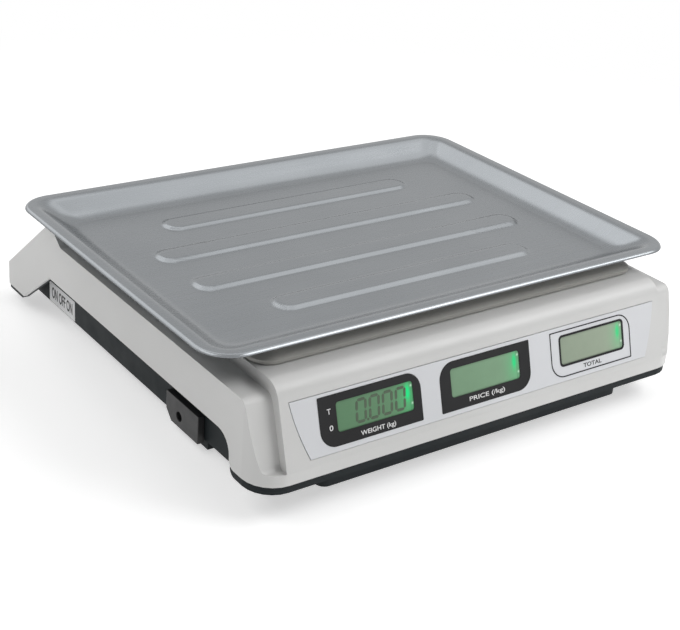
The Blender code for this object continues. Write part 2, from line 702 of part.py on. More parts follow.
def front_undercut():
    half = PAN_WIDTH / 2
    bulge = BULGE_WIDTH / 2
    side = PAN_FRONT + PAN_CORNER_RADIUS
    outline = rounded_outline([
        (-BODY_WIDTH, 2 * FRONT_Y, 0), (BODY_WIDTH, 2 * FRONT_Y, 0), (BODY_WIDTH, side, 0),
        (half, side, 0), (half - PAN_CORNER_RADIUS, PAN_FRONT, 0), (bulge, PAN_FRONT, 0),
        (bulge, BULGE_FRONT, BULGE_RADIUS), (-bulge, BULGE_FRONT, BULGE_RADIUS),
        (-bulge, PAN_FRONT, 0), (-half + PAN_CORNER_RADIUS, PAN_FRONT, 0),
        (-half, side, 0), (-BODY_WIDTH, side, 0),
    ])
    return prism(outline, "Z", BELOW, FLANGE_Z)


def pan_cavity():
    half = PAN_WIDTH / 2 - BASE_WALL
    rear = REAR_Y - SHELL_WALL - FIT_GAP - BASE_WALL
    outline = rectangle(-half, PAN_FRONT + BASE_WALL, half, rear, PAN_CORNER_RADIUS - BASE_WALL)
    return prism(outline, "Z", FLOOR_Z, ABOVE)


def bulge_cavity():
    half = BULGE_WIDTH / 2 - BASE_WALL
    return box((-half, BULGE_FRONT + BASE_WALL, FLOOR_Z), (half, PAN_FRONT + 2 * BASE_WALL, ABOVE))


def front_cavity():
    inset = SHELL_WALL + FIT_GAP + BASE_WALL
    half = BODY_WIDTH / 2 - inset
    radius = FRONT_CORNER_RADIUS - inset
    outline = rounded_outline([
        (-half, FRONT_Y + inset, radius), (half, FRONT_Y + inset, radius),
        (half, RECESS_FRONT - BASE_WALL, 0), (-half, RECESS_FRONT - BASE_WALL, 0),
    ])
    return prism(outline, "Z", FLANGE_Z + BASE_WALL, ABOVE)


def rear_cavity():
    """Inside of the full-width rear end, behind the slanted wall of the recess."""
    inset = SHELL_WALL + FIT_GAP + BASE_WALL
    half = BODY_WIDTH / 2 - inset
    edge = recess_edge(SKIRT_Z)
    slant = (edge[0] - edge[1]).normalized()
    inward = Vector((-slant.y, slant.x)) * BASE_WALL + Vector((RECESS_POCKET, 0.0))
    top = edge[1] + inward - slant * WING_THICKNESS * 2
    foot = edge[1] + inward + slant * ((edge[1].y + inward.y - FLOOR_Z) / -slant.y)
    outline = [top, foot, Vector((REAR_Y - inset, FLOOR_Z)), Vector((REAR_Y - inset, ABOVE)),
               Vector((top.x, ABOVE))]
    return prism(outline, "X", -half, half)


def foot_places():
    return [("front_left", -FOOT_X, FOOT_FRONT_Y), ("front_right", FOOT_X, FOOT_FRONT_Y),
            ("rear_left", -FOOT_X, FOOT_REAR_Y), ("rear_right", FOOT_X, FOOT_REAR_Y)]


def board_posts():
    half_x = MAIN_BOARD_WIDTH / 2 - 2 * BOARD_POST_RADIUS
    half_y = MAIN_BOARD_DEPTH / 2 - 2 * BOARD_POST_RADIUS
    return [(MAIN_BOARD_X + sx * half_x, MAIN_BOARD_Y + sy * half_y) for sx in (-1, 1) for sy in (-1, 1)]


def door_screw_y():
    return BATTERY_Y + OPENING_DEPTH / 2 + DOOR_MARGIN + DOOR_TAB / 2


def base_bosses():
    """Bosses that stand on the base's floor: cell pad, feet, screws, main board, door screw."""
    bm = bmesh.new()
    sunk = FLOOR_Z - BASE_FLOOR / 2
    half_x = SPACER_LENGTH / 2 + CELL_PAD_MARGIN
    half_y = CELL_WIDTH / 2 + CELL_PAD_MARGIN / 2
    seat = CELL_UNDERSIDE - SPACER_HEIGHT - 2 * FIT_GAP
    add_box(bm, (CELL_FIXED_X - half_x, TRAY_Y - half_y, sunk),
            (CELL_FIXED_X + half_x, TRAY_Y + half_y, seat))
    foot_top = BASE_UNDERSIDE + STUD_GRIP + BASE_WALL
    for label, x, y in foot_places():
        add_cylinder(bm, (x, y, 0.0), STUD_RADIUS + FOOT_BOSS_WALL, sunk, foot_top)
    for label, x, y in post_places():
        add_cylinder(bm, (x, y, 0.0), SCREW_HEAD_RADIUS + BASE_WALL, sunk, POST_SEAT)
    for x, y in board_posts():
        add_cylinder(bm, (x, y, 0.0), BOARD_POST_RADIUS, sunk, MAIN_BOARD_SEAT)
    add_cylinder(bm, (0.0, door_screw_y(), 0.0), SCREW_RADIUS + BASE_WALL, sunk, FLOOR_Z + SCREW_GRIP / 2)
    return bm


def base_holes():
    """Holes from below: feet, case screws, load-cell bolts, door screw and switch."""
    bm = bmesh.new()
    for label, x, y in foot_places():
        add_cylinder(bm, (x, y, 0.0), STUD_RADIUS + PIVOT_GAP, BELOW, BASE_UNDERSIDE + STUD_GRIP + FIT_GAP)
    for label, x, y in post_places():
        add_cylinder(bm, (x, y, 0.0), SCREW_RADIUS + BOLT_GAP, BELOW, POST_SEAT * 2)
    for x in cell_bolt_xs(CELL_FIXED_X):
        add_cylinder(bm, (x, TRAY_Y, 0.0), BOLT_RADIUS + BOLT_GAP, BELOW, CELL_TOP)
    add_cylinder(bm, (0.0, door_screw_y(), 0.0), SCREW_RADIUS + BOLT_GAP, BELOW, FLOOR_Z + SCREW_GRIP)
    half_x = SWITCH_WIDTH / 2 + FIT_GAP
    half_y = SWITCH_LENGTH / 2 + FIT_GAP
    add_box(bm, (SWITCH_X - half_x, SWITCH_Y - half_y, BELOW),
            (SWITCH_X + half_x, SWITCH_Y + half_y, 2 * FLOOR_Z))
    return bm


def base_counterbores():
    bm = bmesh.new()
    for label, x, y in post_places():
        add_cylinder(bm, (x, y, 0.0), SCREW_HEAD_RADIUS + BOLT_GAP, BELOW, screw_seat())
    bolt_seat = BASE_UNDERSIDE + BOLT_HEAD + FIT_GAP
    for x in cell_bolt_xs(CELL_FIXED_X):
        add_cylinder(bm, (x, TRAY_Y, 0.0), BOLT_HEAD_RADIUS + BOLT_GAP, BELOW, bolt_seat)
    return bm


def screw_seat():
    return BASE_UNDERSIDE + SCREW_HEAD + FIT_GAP


def door_edges(grow):
    half = OPENING_WIDTH / 2 + DOOR_MARGIN + grow
    front = BATTERY_Y - OPENING_DEPTH / 2 - DOOR_MARGIN - grow
    rear = BATTERY_Y + OPENING_DEPTH / 2 + DOOR_MARGIN + DOOR_TAB + grow
    return (-half, front), (half, rear)


def build_base():
    base = add_part("base", body_form(SHELL_WALL + FIT_GAP), PLASTIC_CHARCOAL)
    trim = prism(plan_outline(SHELL_WALL + FIT_GAP), "Z", BASE_UNDERSIDE - BASE_WALL, WING_Z)
    combine(base, add_cutter("base_trim", trim), "INTERSECT")
    combine(base, add_cutter("front_flange", front_flange()), "UNION")
    combine(base, add_cutter("rear_flange", rear_flange()), "UNION")
    combine(base, add_cutter("recess_hollows", recess_cutters()), "DIFFERENCE")
    combine(base, add_cutter("recess_pockets", recess_pockets()), "DIFFERENCE")
    combine(base, add_cutter("front_undercut", front_undercut()), "DIFFERENCE")
    relief = box((-BODY_WIDTH, 2 * FRONT_Y, FRONT_WALL_TOP), (BODY_WIDTH, RECESS_FRONT - BASE_WALL, ABOVE))
    combine(base, add_cutter("front_relief", relief), "DIFFERENCE")
    combine(base, add_cutter("pan_cavity", pan_cavity()), "DIFFERENCE")
    combine(base, add_cutter("bulge_cavity", bulge_cavity()), "DIFFERENCE")
    combine(base, add_cutter("front_cavity", front_cavity()), "DIFFERENCE")
    combine(base, add_cutter("rear_cavity", rear_cavity()), "DIFFERENCE")
    combine(base, add_cutter("base_bosses", base_bosses()), "UNION")

    level = box((-BODY_WIDTH, -BODY_DEPTH, 2 * BELOW), (BODY_WIDTH, BODY_DEPTH, BASE_UNDERSIDE))
    combine(base, add_cutter("base_level", level), "DIFFERENCE")
    low = Vector((-PAN_WIDTH / 2 + FLANGE_INSET, FRONT_Y + BULGE_PAD_RUN, BASE_UNDERSIDE - BULGE_DROP))
    high = low + Vector((BULGE_PAD_X, BULGE_PAD_Y, BULGE_DROP + BASE_FLOOR / 2))
    combine(base, add_cutter("socket_pad", box(low, high)), "UNION")
    combine(base, add_cutter("base_holes", base_holes()), "DIFFERENCE")
    combine(base, add_cutter("base_counterbores", base_counterbores()), "DIFFERENCE")
    low, high = door_edges(FIT_GAP)
    pocket = box((*low, BELOW), (*high, BASE_UNDERSIDE + DOOR_SHEET + 2 * FIT_GAP))
    combine(base, add_cutter("door_pocket", pocket), "DIFFERENCE")
    opening = box((-OPENING_WIDTH / 2, BATTERY_Y - OPENING_DEPTH / 2, BELOW),
                  (OPENING_WIDTH / 2, BATTERY_Y + OPENING_DEPTH / 2, 2 * FLOOR_Z))
    combine(base, add_cutter("battery_opening", opening), "DIFFERENCE")
    way = bmesh.new()
    add_cylinder(way, (0.0, JACK_Y, JACK_Z), JACK_RADIUS + BARREL_WALL + FIT_GAP,
                 -BODY_WIDTH / 2, -PAN_WIDTH / 2 + 2 * BASE_WALL, "X")
    combine(base, add_cutter("jack_way", way), "DIFFERENCE")


# Tray, carrier and pads; their own frame stands under the middle of the tray
def tray_loop(flange, wall, z):
    """Rounded rectangle set in by a share of the flange and a share of the wall's slope."""
    inset = TRAY_FLANGE * flange
    half_x = TRAY_WIDTH / 2 - inset - (TRAY_WALL_RUN_X - TRAY_FLANGE) * wall
    half_y = TRAY_DEPTH / 2 - inset - (TRAY_WALL_RUN_Y - TRAY_FLANGE) * wall
    shoulder = TRAY_CORNER_RADIUS - inset
    radius = shoulder + (TRAY_FLOOR_RADIUS - shoulder) * wall
    return [(point.x, point.y, z) for point in rectangle(-half_x, -half_y, half_x, half_y, radius, ARC_STEPS)]


def bead_outline(length, shrink):
    half = length / 2 - shrink
    width = BEAD_WIDTH / 2 - shrink
    return rectangle(-half, -width, half, width, width * 0.98, 2 * SMALL_STEPS)


def tray_beads():
    bm = bmesh.new()
    levels = [(0.0, -TRAY_SHEET / 2), (BEAD_WIDTH / 10, 0.8 * BEAD_HEIGHT), (BEAD_WIDTH / 4, BEAD_HEIGHT)]
    rows = [(-BEAD_OUTER_Y, BEAD_OUTER_LENGTH), (-BEAD_INNER_Y, BEAD_INNER_LENGTH),
            (BEAD_INNER_Y, BEAD_INNER_LENGTH), (BEAD_OUTER_Y, BEAD_OUTER_LENGTH)]
    for y, length in rows:
        loops = []
        for shrink, z in levels:
            outline = bead_outline(length, shrink)
            loops.append([(point.x, point.y + y, TRAY_FLOOR_Z + z) for point in outline])
        add_loft(bm, loops)
    return bm


def build_tray():
    drop = TRAY_DISH
    levels = [(0.0, 0.0, -TRAY_LIP), (0.0, 0.0, -0.08 * drop), (0.08, 0.0, 0.0), (0.85, 0.0, 0.0),
              (1.0, 0.06, -0.05 * drop), (1.0, 0.84, -0.80 * drop), (1.0, 1.0, -0.95 * drop),
              (1.0, 1.18, -drop)]
    bm = bmesh.new()
    rings = []
    for flange, wall, z in levels:
        rings.append([bm.verts.new(point) for point in tray_loop(flange, wall, TRAY_RIM_Z + z)])
    for outer, inner in zip(rings, rings[1:]):
        for index in range(len(outer)):
            nearby = (index + 1) % len(outer)
            bm.faces.new((outer[index], outer[nearby], inner[nearby], inner[index]))
    bm.faces.new(rings[-1])
    tray = add_part("weighing_tray", bm, STAINLESS, platform)
    sheet = tray.modifiers.new("sheet", "SOLIDIFY")
    sheet.thickness = TRAY_SHEET
    sheet.offset = -1.0
    sheet.use_even_offset = True
    combine(tray, add_cutter("tray_beads", tray_beads(), platform), "UNION")
    smooth_round(tray)


def carrier_dish():
    """Underside of the tray, lowered by the fit, as a profile across Y."""
    floor = TRAY_FLOOR_Z - TRAY_SHEET - FIT_GAP
    foot = TRAY_DEPTH / 2 - TRAY_WALL_RUN_Y
    shoulder = TRAY_DEPTH / 2 - TRAY_FLANGE
    outline = [(-foot, floor), (foot, floor), (shoulder, floor + TRAY_DISH), (shoulder, ABOVE),
               (-shoulder, ABOVE), (-shoulder, floor + TRAY_DISH)]
    return prism([Vector(point) for point in outline], "X", -TRAY_WIDTH / 2, TRAY_WIDTH / 2)


def cell_bolt_xs(centre):
    return centre - BOLT_PITCH / 2, centre + BOLT_PITCH / 2


def boss_underside():
    return CELL_TOP + SPACER_HEIGHT + 2 * FIT_GAP


def carrier_bolt_holes():
    bm = bmesh.new()
    for x in cell_bolt_xs(CELL_FREE_X):
        add_cylinder(bm, (x, 0.0, 0.0), BOLT_RADIUS + BOLT_GAP, CELL_UNDERSIDE, ABOVE)
    return bm


def carrier_counterbores():
    bm = bmesh.new()
    for x in cell_bolt_xs(CELL_FREE_X):
        add_cylinder(bm, (x, 0.0, 0.0), BOLT_HEAD_RADIUS + BOLT_GAP, PLATE_Z - BOLT_HEAD - 2 * FIT_GAP, ABOVE)
    return bm


def build_carrier():
    foot = BLOCK_TOP + CARRIER_FOOT_GAP
    half_x = CARRIER_WIDTH / 2
    half_y = CARRIER_DEPTH / 2
    levels = [(0.0, CARRIER_RADIUS, 0.0), (0.0, CARRIER_RADIUS, CARRIER_SKIRT),
              (CARRIER_TAPER, CARRIER_TOP_RADIUS, CARRIER_WALL_HEIGHT)]
    loops = []
    for inset, radius, lift in levels:
        side = half_x - inset
        end = half_y - inset
        outline = rectangle(-side, -end, side, end, radius, ARC_STEPS)
        loops.append([(point.x, point.y, foot + lift) for point in outline])
    wall = bmesh.new()
    add_loft(wall, loops)
    carrier = add_part("pan_carrier", wall, PLASTIC_WHITE, platform)
    half_x = WELL_WIDTH / 2 - WELL_CLEAR
    half_y = WELL_DEPTH_Y / 2 - WELL_CLEAR
    outline = rectangle(-half_x, -half_y, half_x, half_y, PLATE_RADIUS)
    plate = prism(outline, "Z", PLATE_UNDER_Z, foot + BEAD_HEIGHT / 2)
    combine(carrier, add_cutter("carrier_plate", plate, platform), "UNION")
    low, high = boss_low_high()
    boss_top = PLATE_UNDER_Z + CARRIER_PLATE / 2
    boss = box((low[0], low[1] - TRAY_Y, boss_underside()), (high[0], high[1] - TRAY_Y, boss_top))
    combine(carrier, add_cutter("carrier_boss", boss, platform), "UNION")
    combine(carrier, add_cutter("carrier_dish", carrier_dish(), platform), "DIFFERENCE")
    half_x -= CARRIER_PLATE
    half_y -= CARRIER_PLATE
    pocket = rectangle(-half_x, -half_y, half_x, half_y, PLATE_POCKET_RADIUS)
    combine(carrier, add_cutter("pad_pocket", prism(pocket, "Z", PLATE_Z, ABOVE), platform), "DIFFERENCE")
    combine(carrier, add_cutter("carrier_bolt_holes", carrier_bolt_holes(), platform), "DIFFERENCE")
    combine(carrier, add_cutter("carrier_counterbores", carrier_counterbores(), platform), "DIFFERENCE")


def build_pads():
    top = TRAY_FLOOR_Z - TRAY_SHEET - FIT_GAP
    corners = (("front_left", -1, -1), ("front_right", 1, -1), ("rear_left", -1, 1), ("rear_right", 1, 1))
    for label, side_x, side_y in corners:
        bm = bmesh.new()
        add_cylinder(bm, (0.0, 0.0, 0.0), PAD_RADIUS, PLATE_Z + FIT_GAP, top)
        add_part("tray_pad_" + label, bm, RUBBER, platform, (side_x * PAD_X, side_y * PAD_Y, 0.0))


# Load cell with its spacers and bolts
def cell_hollow():
    middle = (CELL_UNDERSIDE + CELL_TOP) / 2
    bm = bmesh.new()
    for x in (-CELL_HOLE_SPREAD, CELL_HOLE_SPREAD):
        add_cylinder(bm, (x, 0.0, middle), CELL_HOLE_RADIUS, -CELL_WIDTH, CELL_WIDTH, "Y")
    return bm


def cell_bolt_holes():
    bm = bmesh.new()
    radius = BOLT_RADIUS + BOLT_GAP
    for x in cell_bolt_xs(CELL_FIXED_X):
        add_cylinder(bm, (x, 0.0, 0.0), radius, BELOW, CELL_UNDERSIDE + BOLT_GRIP + 2 * FIT_GAP)
    for x in cell_bolt_xs(CELL_FREE_X):
        add_cylinder(bm, (x, 0.0, 0.0), radius, CELL_TOP - BOLT_GRIP - 4 * FIT_GAP, ABOVE)
    return bm


def build_load_cell():
    low = (-CELL_LENGTH / 2, -CELL_WIDTH / 2, CELL_UNDERSIDE)
    high = (CELL_LENGTH / 2, CELL_WIDTH / 2, CELL_TOP)
    cell = add_part("load_cell", box(low, high), ALUMINIUM, platform)
    combine(cell, add_cutter("cell_hollow", cell_hollow(), platform), "DIFFERENCE")
    middle = (CELL_UNDERSIDE + CELL_TOP) / 2
    slot = box((-CELL_HOLE_SPREAD, -CELL_WIDTH, middle - CELL_HOLE_RADIUS / 3),
               (CELL_HOLE_SPREAD, CELL_WIDTH, middle + CELL_HOLE_RADIUS / 3))
    combine(cell, add_cutter("cell_slot", slot, platform), "DIFFERENCE")
    combine(cell, add_cutter("cell_bolt_holes", cell_bolt_holes(), platform), "DIFFERENCE")

    seats = [("cell_foot_spacer", CELL_FIXED_X, CELL_UNDERSIDE - FIT_GAP - SPACER_HEIGHT),
             ("cell_head_spacer", CELL_FREE_X, CELL_TOP + FIT_GAP)]
    for name, x, z in seats:
        top = z + SPACER_HEIGHT
        block = box((x - SPACER_LENGTH / 2, -CELL_WIDTH / 2, z), (x + SPACER_LENGTH / 2, CELL_WIDTH / 2, top))
        spacer = add_part(name, block, ALUMINIUM, platform)
        holes = bmesh.new()
        radius = BOLT_RADIUS + BOLT_GAP
        for bolt_x in cell_bolt_xs(x):
            add_cylinder(holes, (bolt_x, 0.0, 0.0), radius, z - SPACER_HEIGHT, top + SPACER_HEIGHT)
        combine(spacer, add_cutter(name + "_holes", holes, platform), "DIFFERENCE")


def add_turned(name, profile, finish, frame, place):
    """Turn an (r, z) line, listed from its top on the axis down to its bottom, once round Z."""
    bm = bmesh.new()
    verts = [bm.verts.new((radius, 0.0, z)) for radius, z in profile]
    for pair in zip(verts, verts[1:]):
        bm.edges.new(pair)
    obj = add_part(name, bm, finish, frame, place)
    screw = obj.modifiers.new("turn", "SCREW")
    screw.axis = "Z"
    screw.angle = math.tau
    screw.steps = ROUND_SIDES
    screw.render_steps = ROUND_SIDES
    screw.use_merge_vertices = True
    screw.merge_threshold = 0.00001
    return obj


def build_bolt(name, place, head_z, seat_z, tip_z, radius, head_radius, frame=None):
    profile = [(0.0, head_z), (head_radius, head_z), (head_radius, seat_z), (radius, seat_z),
               (radius, tip_z), (0.0, tip_z)]
    if head_z < tip_z:
        profile.reverse()
    add_turned(name, profile, STEEL, frame, place)


def build_fasteners():
    for number, x in enumerate(cell_bolt_xs(CELL_FIXED_X), 1):
        build_bolt("cell_foot_bolt_%d" % number, (x, TRAY_Y, 0.0), BASE_UNDERSIDE, BASE_UNDERSIDE + BOLT_HEAD,
                   CELL_UNDERSIDE + BOLT_GRIP, BOLT_RADIUS, BOLT_HEAD_RADIUS)
    seat = PLATE_Z - BOLT_HEAD - FIT_GAP
    for number, x in enumerate(cell_bolt_xs(CELL_FREE_X), 1):
        build_bolt("cell_head_bolt_%d" % number, (x, 0.0, 0.0), seat + BOLT_HEAD, seat,
                   CELL_TOP - BOLT_GRIP, BOLT_RADIUS, BOLT_HEAD_RADIUS, platform)
    for label, x, y in post_places():
        build_bolt("case_screw_" + label, (x, y, 0.0), BASE_UNDERSIDE, BASE_UNDERSIDE + SCREW_HEAD,
                   POST_SEAT + SCREW_GRIP, SCREW_RADIUS, SCREW_HEAD_RADIUS)
    build_bolt("battery_door_screw", (0.0, door_screw_y(), 0.0), BASE_UNDERSIDE - SCREW_HEAD / 2,
               BASE_UNDERSIDE, FLOOR_Z + SCREW_GRIP / 3, SCREW_RADIUS, SCREW_HEAD_RADIUS)


# Customer and vendor display modules
def display_block(bm, x, v):
    """Glass unit: a block behind the wall with a face that stands in its window."""
    half_x = WINDOW_WIDTH / 2 + LCD_MARGIN
    half_v = WINDOW_HEIGHT / 2 + LCD_MARGIN
    front = -SHELL_WALL - FIT_GAP
    back = rectangle(x - half_x, v - half_v, x + half_x, v + half_v)
    add_prism(bm, back, "Z", front - LCD_THICKNESS, front)
    half_x = WINDOW_WIDTH / 2 - FIT_GAP
    half_v = WINDOW_HEIGHT / 2 - FIT_GAP
    face = rectangle(x - half_x, v - half_v, x + half_x, v + half_v, WINDOW_RADIUS)
    return prism(face, "Z", front - LCD_THICKNESS / 2, -OVERLAY_SINK)


def build_displays(prefix, frame, centres_x, v):
    for number, x in enumerate(centres_x, 1):
        bm = bmesh.new()
        face = display_block(bm, x, v)
        name = "%s_display_%d" % (prefix, number)
        unit = add_part(name, bm, DISPLAY_GREEN, frame)
        combine(unit, add_cutter(name + "_face", face, frame), "UNION")


def build_board(name, frame, half_x, low_v, high_v):
    top = -SHELL_WALL - LCD_THICKNESS - 2 * FIT_GAP
    add_part(name, box((-half_x, low_v, top - BOARD_THICKNESS), (half_x, high_v, top)), BOARD_GREEN, frame)


def build_customer_side(windows):
    rise = OVERLAY_RISE + WINDOW_RISE
    low = -OVERLAY_SINK + FIT_GAP
    sheet = prism(overlay_outline(0.0), "Z", low, low + OVERLAY_SHEET)
    overlay = add_part("customer_overlay", sheet, OVERLAY_SILVER, panel)
    combine(overlay, windows, "DIFFERENCE")
    build_displays("customer", panel, WINDOW_X, rise)
    reach = LCD_MARGIN + BOARD_MARGIN
    build_board("customer_display_board", panel, max(WINDOW_X) + WINDOW_WIDTH / 2 + reach,
                rise - WINDOW_HEIGHT / 2 - reach, rise + WINDOW_HEIGHT / 2 + reach)


def build_vendor_side(holes):
    low = -OVERLAY_SINK + FIT_GAP
    sheet = prism(key_sheet_outline(0.0), "Z", low, low + OVERLAY_SHEET)
    overlay = add_part("keypad_overlay", sheet, OVERLAY_SILVER, keypad)
    combine(overlay, holes, "DIFFERENCE")
    build_displays("vendor", keypad, VENDOR_WINDOW_X, VENDOR_WINDOW_DOWN)
    first = VENDOR_WINDOW_DOWN - WINDOW_HEIGHT / 2 - LCD_MARGIN
    last = KEY_FIRST_DOWN + (KEY_ROWS - 1) * KEY_PITCH_Y + KEY_HEIGHT / 2 + BOARD_MARGIN / 4
    build_board("vendor_board", keypad, VENDOR_BOARD_WIDTH / 2, first, last)

    board_top = -SHELL_WALL - LCD_THICKNESS - 2 * FIT_GAP
    foot = board_top + KEY_TRAVEL + FIT_GAP
    top = low + OVERLAY_SHEET + KEY_PROUD
    for row, column, x, down in key_centres():
        cap = box((-KEY_WIDTH / 2, -KEY_HEIGHT / 2, foot), (KEY_WIDTH / 2, KEY_HEIGHT / 2, top))
        key = add_part("key_r%d_c%d" % (row + 1, column + 1), cap, KEY_GREY, keypad, (x, down, 0.0))
        bevel = key.modifiers.new("edges", "BEVEL")
        bevel.width = KEY_BEVEL
        bevel.segments = 2


# Feet, battery, main board, switch and charger socket
def build_feet():
    edge = FOOT_PAD / 6
    tip = BASE_UNDERSIDE + STUD_GRIP
    profile = [(0.0, tip), (STUD_RADIUS, tip), (STUD_RADIUS, FOOT_PAD), (FOOT_RADIUS - edge, FOOT_PAD),
               (FOOT_RADIUS, FOOT_PAD - edge), (FOOT_RADIUS, edge), (FOOT_RADIUS - edge, 0.0), (0.0, 0.0)]
    for label, x, y in foot_places():
        add_turned("levelling_foot_" + label, profile, RUBBER, None, (x, y, 0.0))


def build_inner_pieces():
    seat = FLOOR_Z + FIT_GAP
    low = (-BATTERY_WIDTH / 2, BATTERY_Y - BATTERY_DEPTH / 2, seat)
    high = (BATTERY_WIDTH / 2, BATTERY_Y + BATTERY_DEPTH / 2, seat + BATTERY_HEIGHT)
    battery = add_part("battery", box(low, high), PLASTIC_BLACK)
    bevel = battery.modifiers.new("edges", "BEVEL")
    bevel.width = BATTERY_EDGE
    bevel.segments = 2

    low, high = door_edges(0.0)
    under = BASE_UNDERSIDE + FIT_GAP
    door = add_part("battery_door", box((*low, under), (*high, under + DOOR_SHEET)), PLASTIC_CHARCOAL)
    hole = bmesh.new()
    add_cylinder(hole, (0.0, door_screw_y(), 0.0), SCREW_RADIUS + BOLT_GAP, BELOW, 2 * FLOOR_Z)
    combine(door, add_cutter("door_screw_hole", hole), "DIFFERENCE")

    half_x = MAIN_BOARD_WIDTH / 2
    half_y = MAIN_BOARD_DEPTH / 2
    seat = MAIN_BOARD_SEAT + FIT_GAP
    board = box((MAIN_BOARD_X - half_x, MAIN_BOARD_Y - half_y, seat),
                (MAIN_BOARD_X + half_x, MAIN_BOARD_Y + half_y, seat + BOARD_THICKNESS))
    add_part("main_board", board, BOARD_GREEN)


def build_switch():
    place = (SWITCH_X, SWITCH_Y, 0.0)
    half_x = SWITCH_WIDTH / 2
    half_y = SWITCH_LENGTH / 2
    rim_top = BASE_UNDERSIDE - FIT_GAP
    rim = box((-half_x - SWITCH_RIM, -half_y - SWITCH_RIM, rim_top - SWITCH_RIM_SHEET),
              (half_x + SWITCH_RIM, half_y + SWITCH_RIM, rim_top))
    body = add_part("power_switch_body", rim, PLASTIC_BLACK, None, place)
    top = BASE_UNDERSIDE + SWITCH_BODY_HEIGHT
    barrel = box((-half_x, -half_y, rim_top - SWITCH_RIM_SHEET / 2), (half_x, half_y, top))
    combine(body, add_cutter("switch_barrel", barrel, None, place), "UNION")
    room = box((-half_x + SWITCH_WALL, -half_y + SWITCH_WALL, BELOW),
               (half_x - SWITCH_WALL, half_y - SWITCH_WALL, top - SWITCH_WALL))
    combine(body, add_cutter("switch_room", room, None, place), "DIFFERENCE")
    pins = bmesh.new()
    add_cylinder(pins, (0.0, 0.0, ROCKER_PIVOT_Z), ROCKER_PIN_RADIUS + PIVOT_GAP, -half_x, half_x, "X")
    combine(body, add_cutter("switch_pin_holes", pins, None, place), "DIFFERENCE")

    reach = half_y - SWITCH_WALL - 2 * SLIDE_GAP - FIT_GAP
    face = BASE_UNDERSIDE - FIT_GAP - SWITCH_RIM_SHEET - ROCKER_PROUD - ROCKER_PIVOT_Z
    dip = -math.tan(ROCKER_SWING) * reach / 2
    outline = [(-reach, face), (0.0, face - dip), (reach, face), (reach * 0.9, ROCKER_PIN_RADIUS),
               (ROCKER_PIN_RADIUS, 2 * ROCKER_PIN_RADIUS), (-ROCKER_PIN_RADIUS, 2 * ROCKER_PIN_RADIUS),
               (-reach * 0.9, ROCKER_PIN_RADIUS)]
    wide = half_x - SWITCH_WALL - FIT_GAP
    pivot = (SWITCH_X, SWITCH_Y, ROCKER_PIVOT_Z)
    form = prism([Vector(point) for point in outline], "X", -wide, wide)
    rocker = add_part("power_rocker", form, PLASTIC_BLACK, None, pivot)
    pin = bmesh.new()
    add_cylinder(pin, (0.0, 0.0, 0.0), ROCKER_PIN_RADIUS, -half_x + FIT_GAP, half_x - FIT_GAP, "X")
    combine(rocker, add_cutter("rocker_pin", pin, None, pivot), "UNION")


def build_socket():
    wall = -PAN_WIDTH / 2
    near = SOCKET_Y - SOCKET_LENGTH / 2
    far = SOCKET_Y + SOCKET_LENGTH / 2
    foot = BASE_UNDERSIDE - SOCKET_DROP
    outline = [(near, foot), (far - SOCKET_CHAMFER, foot), (far, foot + SOCKET_CHAMFER),
               (far, SOCKET_TOP), (near, SOCKET_TOP)]
    plate = prism([Vector(point) for point in outline], "X", wall - SOCKET_DEPTH, wall - FIT_GAP)
    socket = add_part("charger_socket", plate, PLASTIC_BLACK)
    barrel = bmesh.new()
    add_cylinder(barrel, (0.0, JACK_Y, JACK_Z), JACK_RADIUS + BARREL_WALL,
                 wall - SOCKET_DEPTH / 2, wall + BASE_WALL, "X")
    combine(socket, add_cutter("jack_barrel", barrel), "UNION")
    bore = bmesh.new()
    add_cylinder(bore, (0.0, JACK_Y, JACK_Z), JACK_RADIUS, -BODY_WIDTH / 2, wall + BASE_WALL / 2, "X")
    combine(socket, add_cutter("jack_bore", bore), "DIFFERENCE")


for old in list(bpy.data.objects):
    bpy.data.objects.remove(old)

# Finishes: colour, roughness, metallic
PLASTIC_WHITE = ((0.72, 0.71, 0.68), 0.45, 0.0)
PLASTIC_CHARCOAL = ((0.035, 0.042, 0.047), 0.5, 0.0)
PLASTIC_BLACK = ((0.012, 0.012, 0.013), 0.4, 0.0)
STAINLESS = ((0.62, 0.61, 0.59), 0.28, 1.0)
ALUMINIUM = ((0.68, 0.69, 0.70), 0.4, 1.0)
STEEL = ((0.45, 0.45, 0.46), 0.35, 1.0)
RUBBER = ((0.02, 0.02, 0.021), 0.8, 0.0)
OVERLAY_SILVER = ((0.66, 0.68, 0.70), 0.35, 0.0)
DISPLAY_GREEN = ((0.27, 0.40, 0.24), 0.15, 0.0)
BOARD_GREEN = ((0.02, 0.12, 0.05), 0.5, 0.0)
KEY_GREY = ((0.45, 0.47, 0.50), 0.5, 0.0)

parts = new_collection("price_scale")
cutters = new_collection("cutters")
panel = bpy.data.objects.new("panel_frame", None)
panel.location = (0.0, FRONT_Y, LIP_Z)
panel.rotation_euler = (math.pi / 2 - PANEL_LEAN, 0.0, 0.0)
keypad = bpy.data.objects.new("keypad_frame", None)
keypad.location = (0.0, KEYPAD_START, BLOCK_TOP)
keypad.rotation_euler = (-KEYPAD_ANGLE, 0.0, 0.0)
platform = bpy.data.objects.new("platform_frame", None)
platform.location = (0.0, TRAY_Y, 0.0)
for frame in (panel, keypad, platform):
    cutters.objects.link(frame)

customer_windows, vendor_holes = build_shell()
build_base()
build_tray()
build_carrier()
build_pads()
build_load_cell()
build_fasteners()
build_customer_side(customer_windows)
build_vendor_side(vendor_holes)
build_feet()
build_inner_pieces()
build_switch()
build_socket()
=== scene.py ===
import math

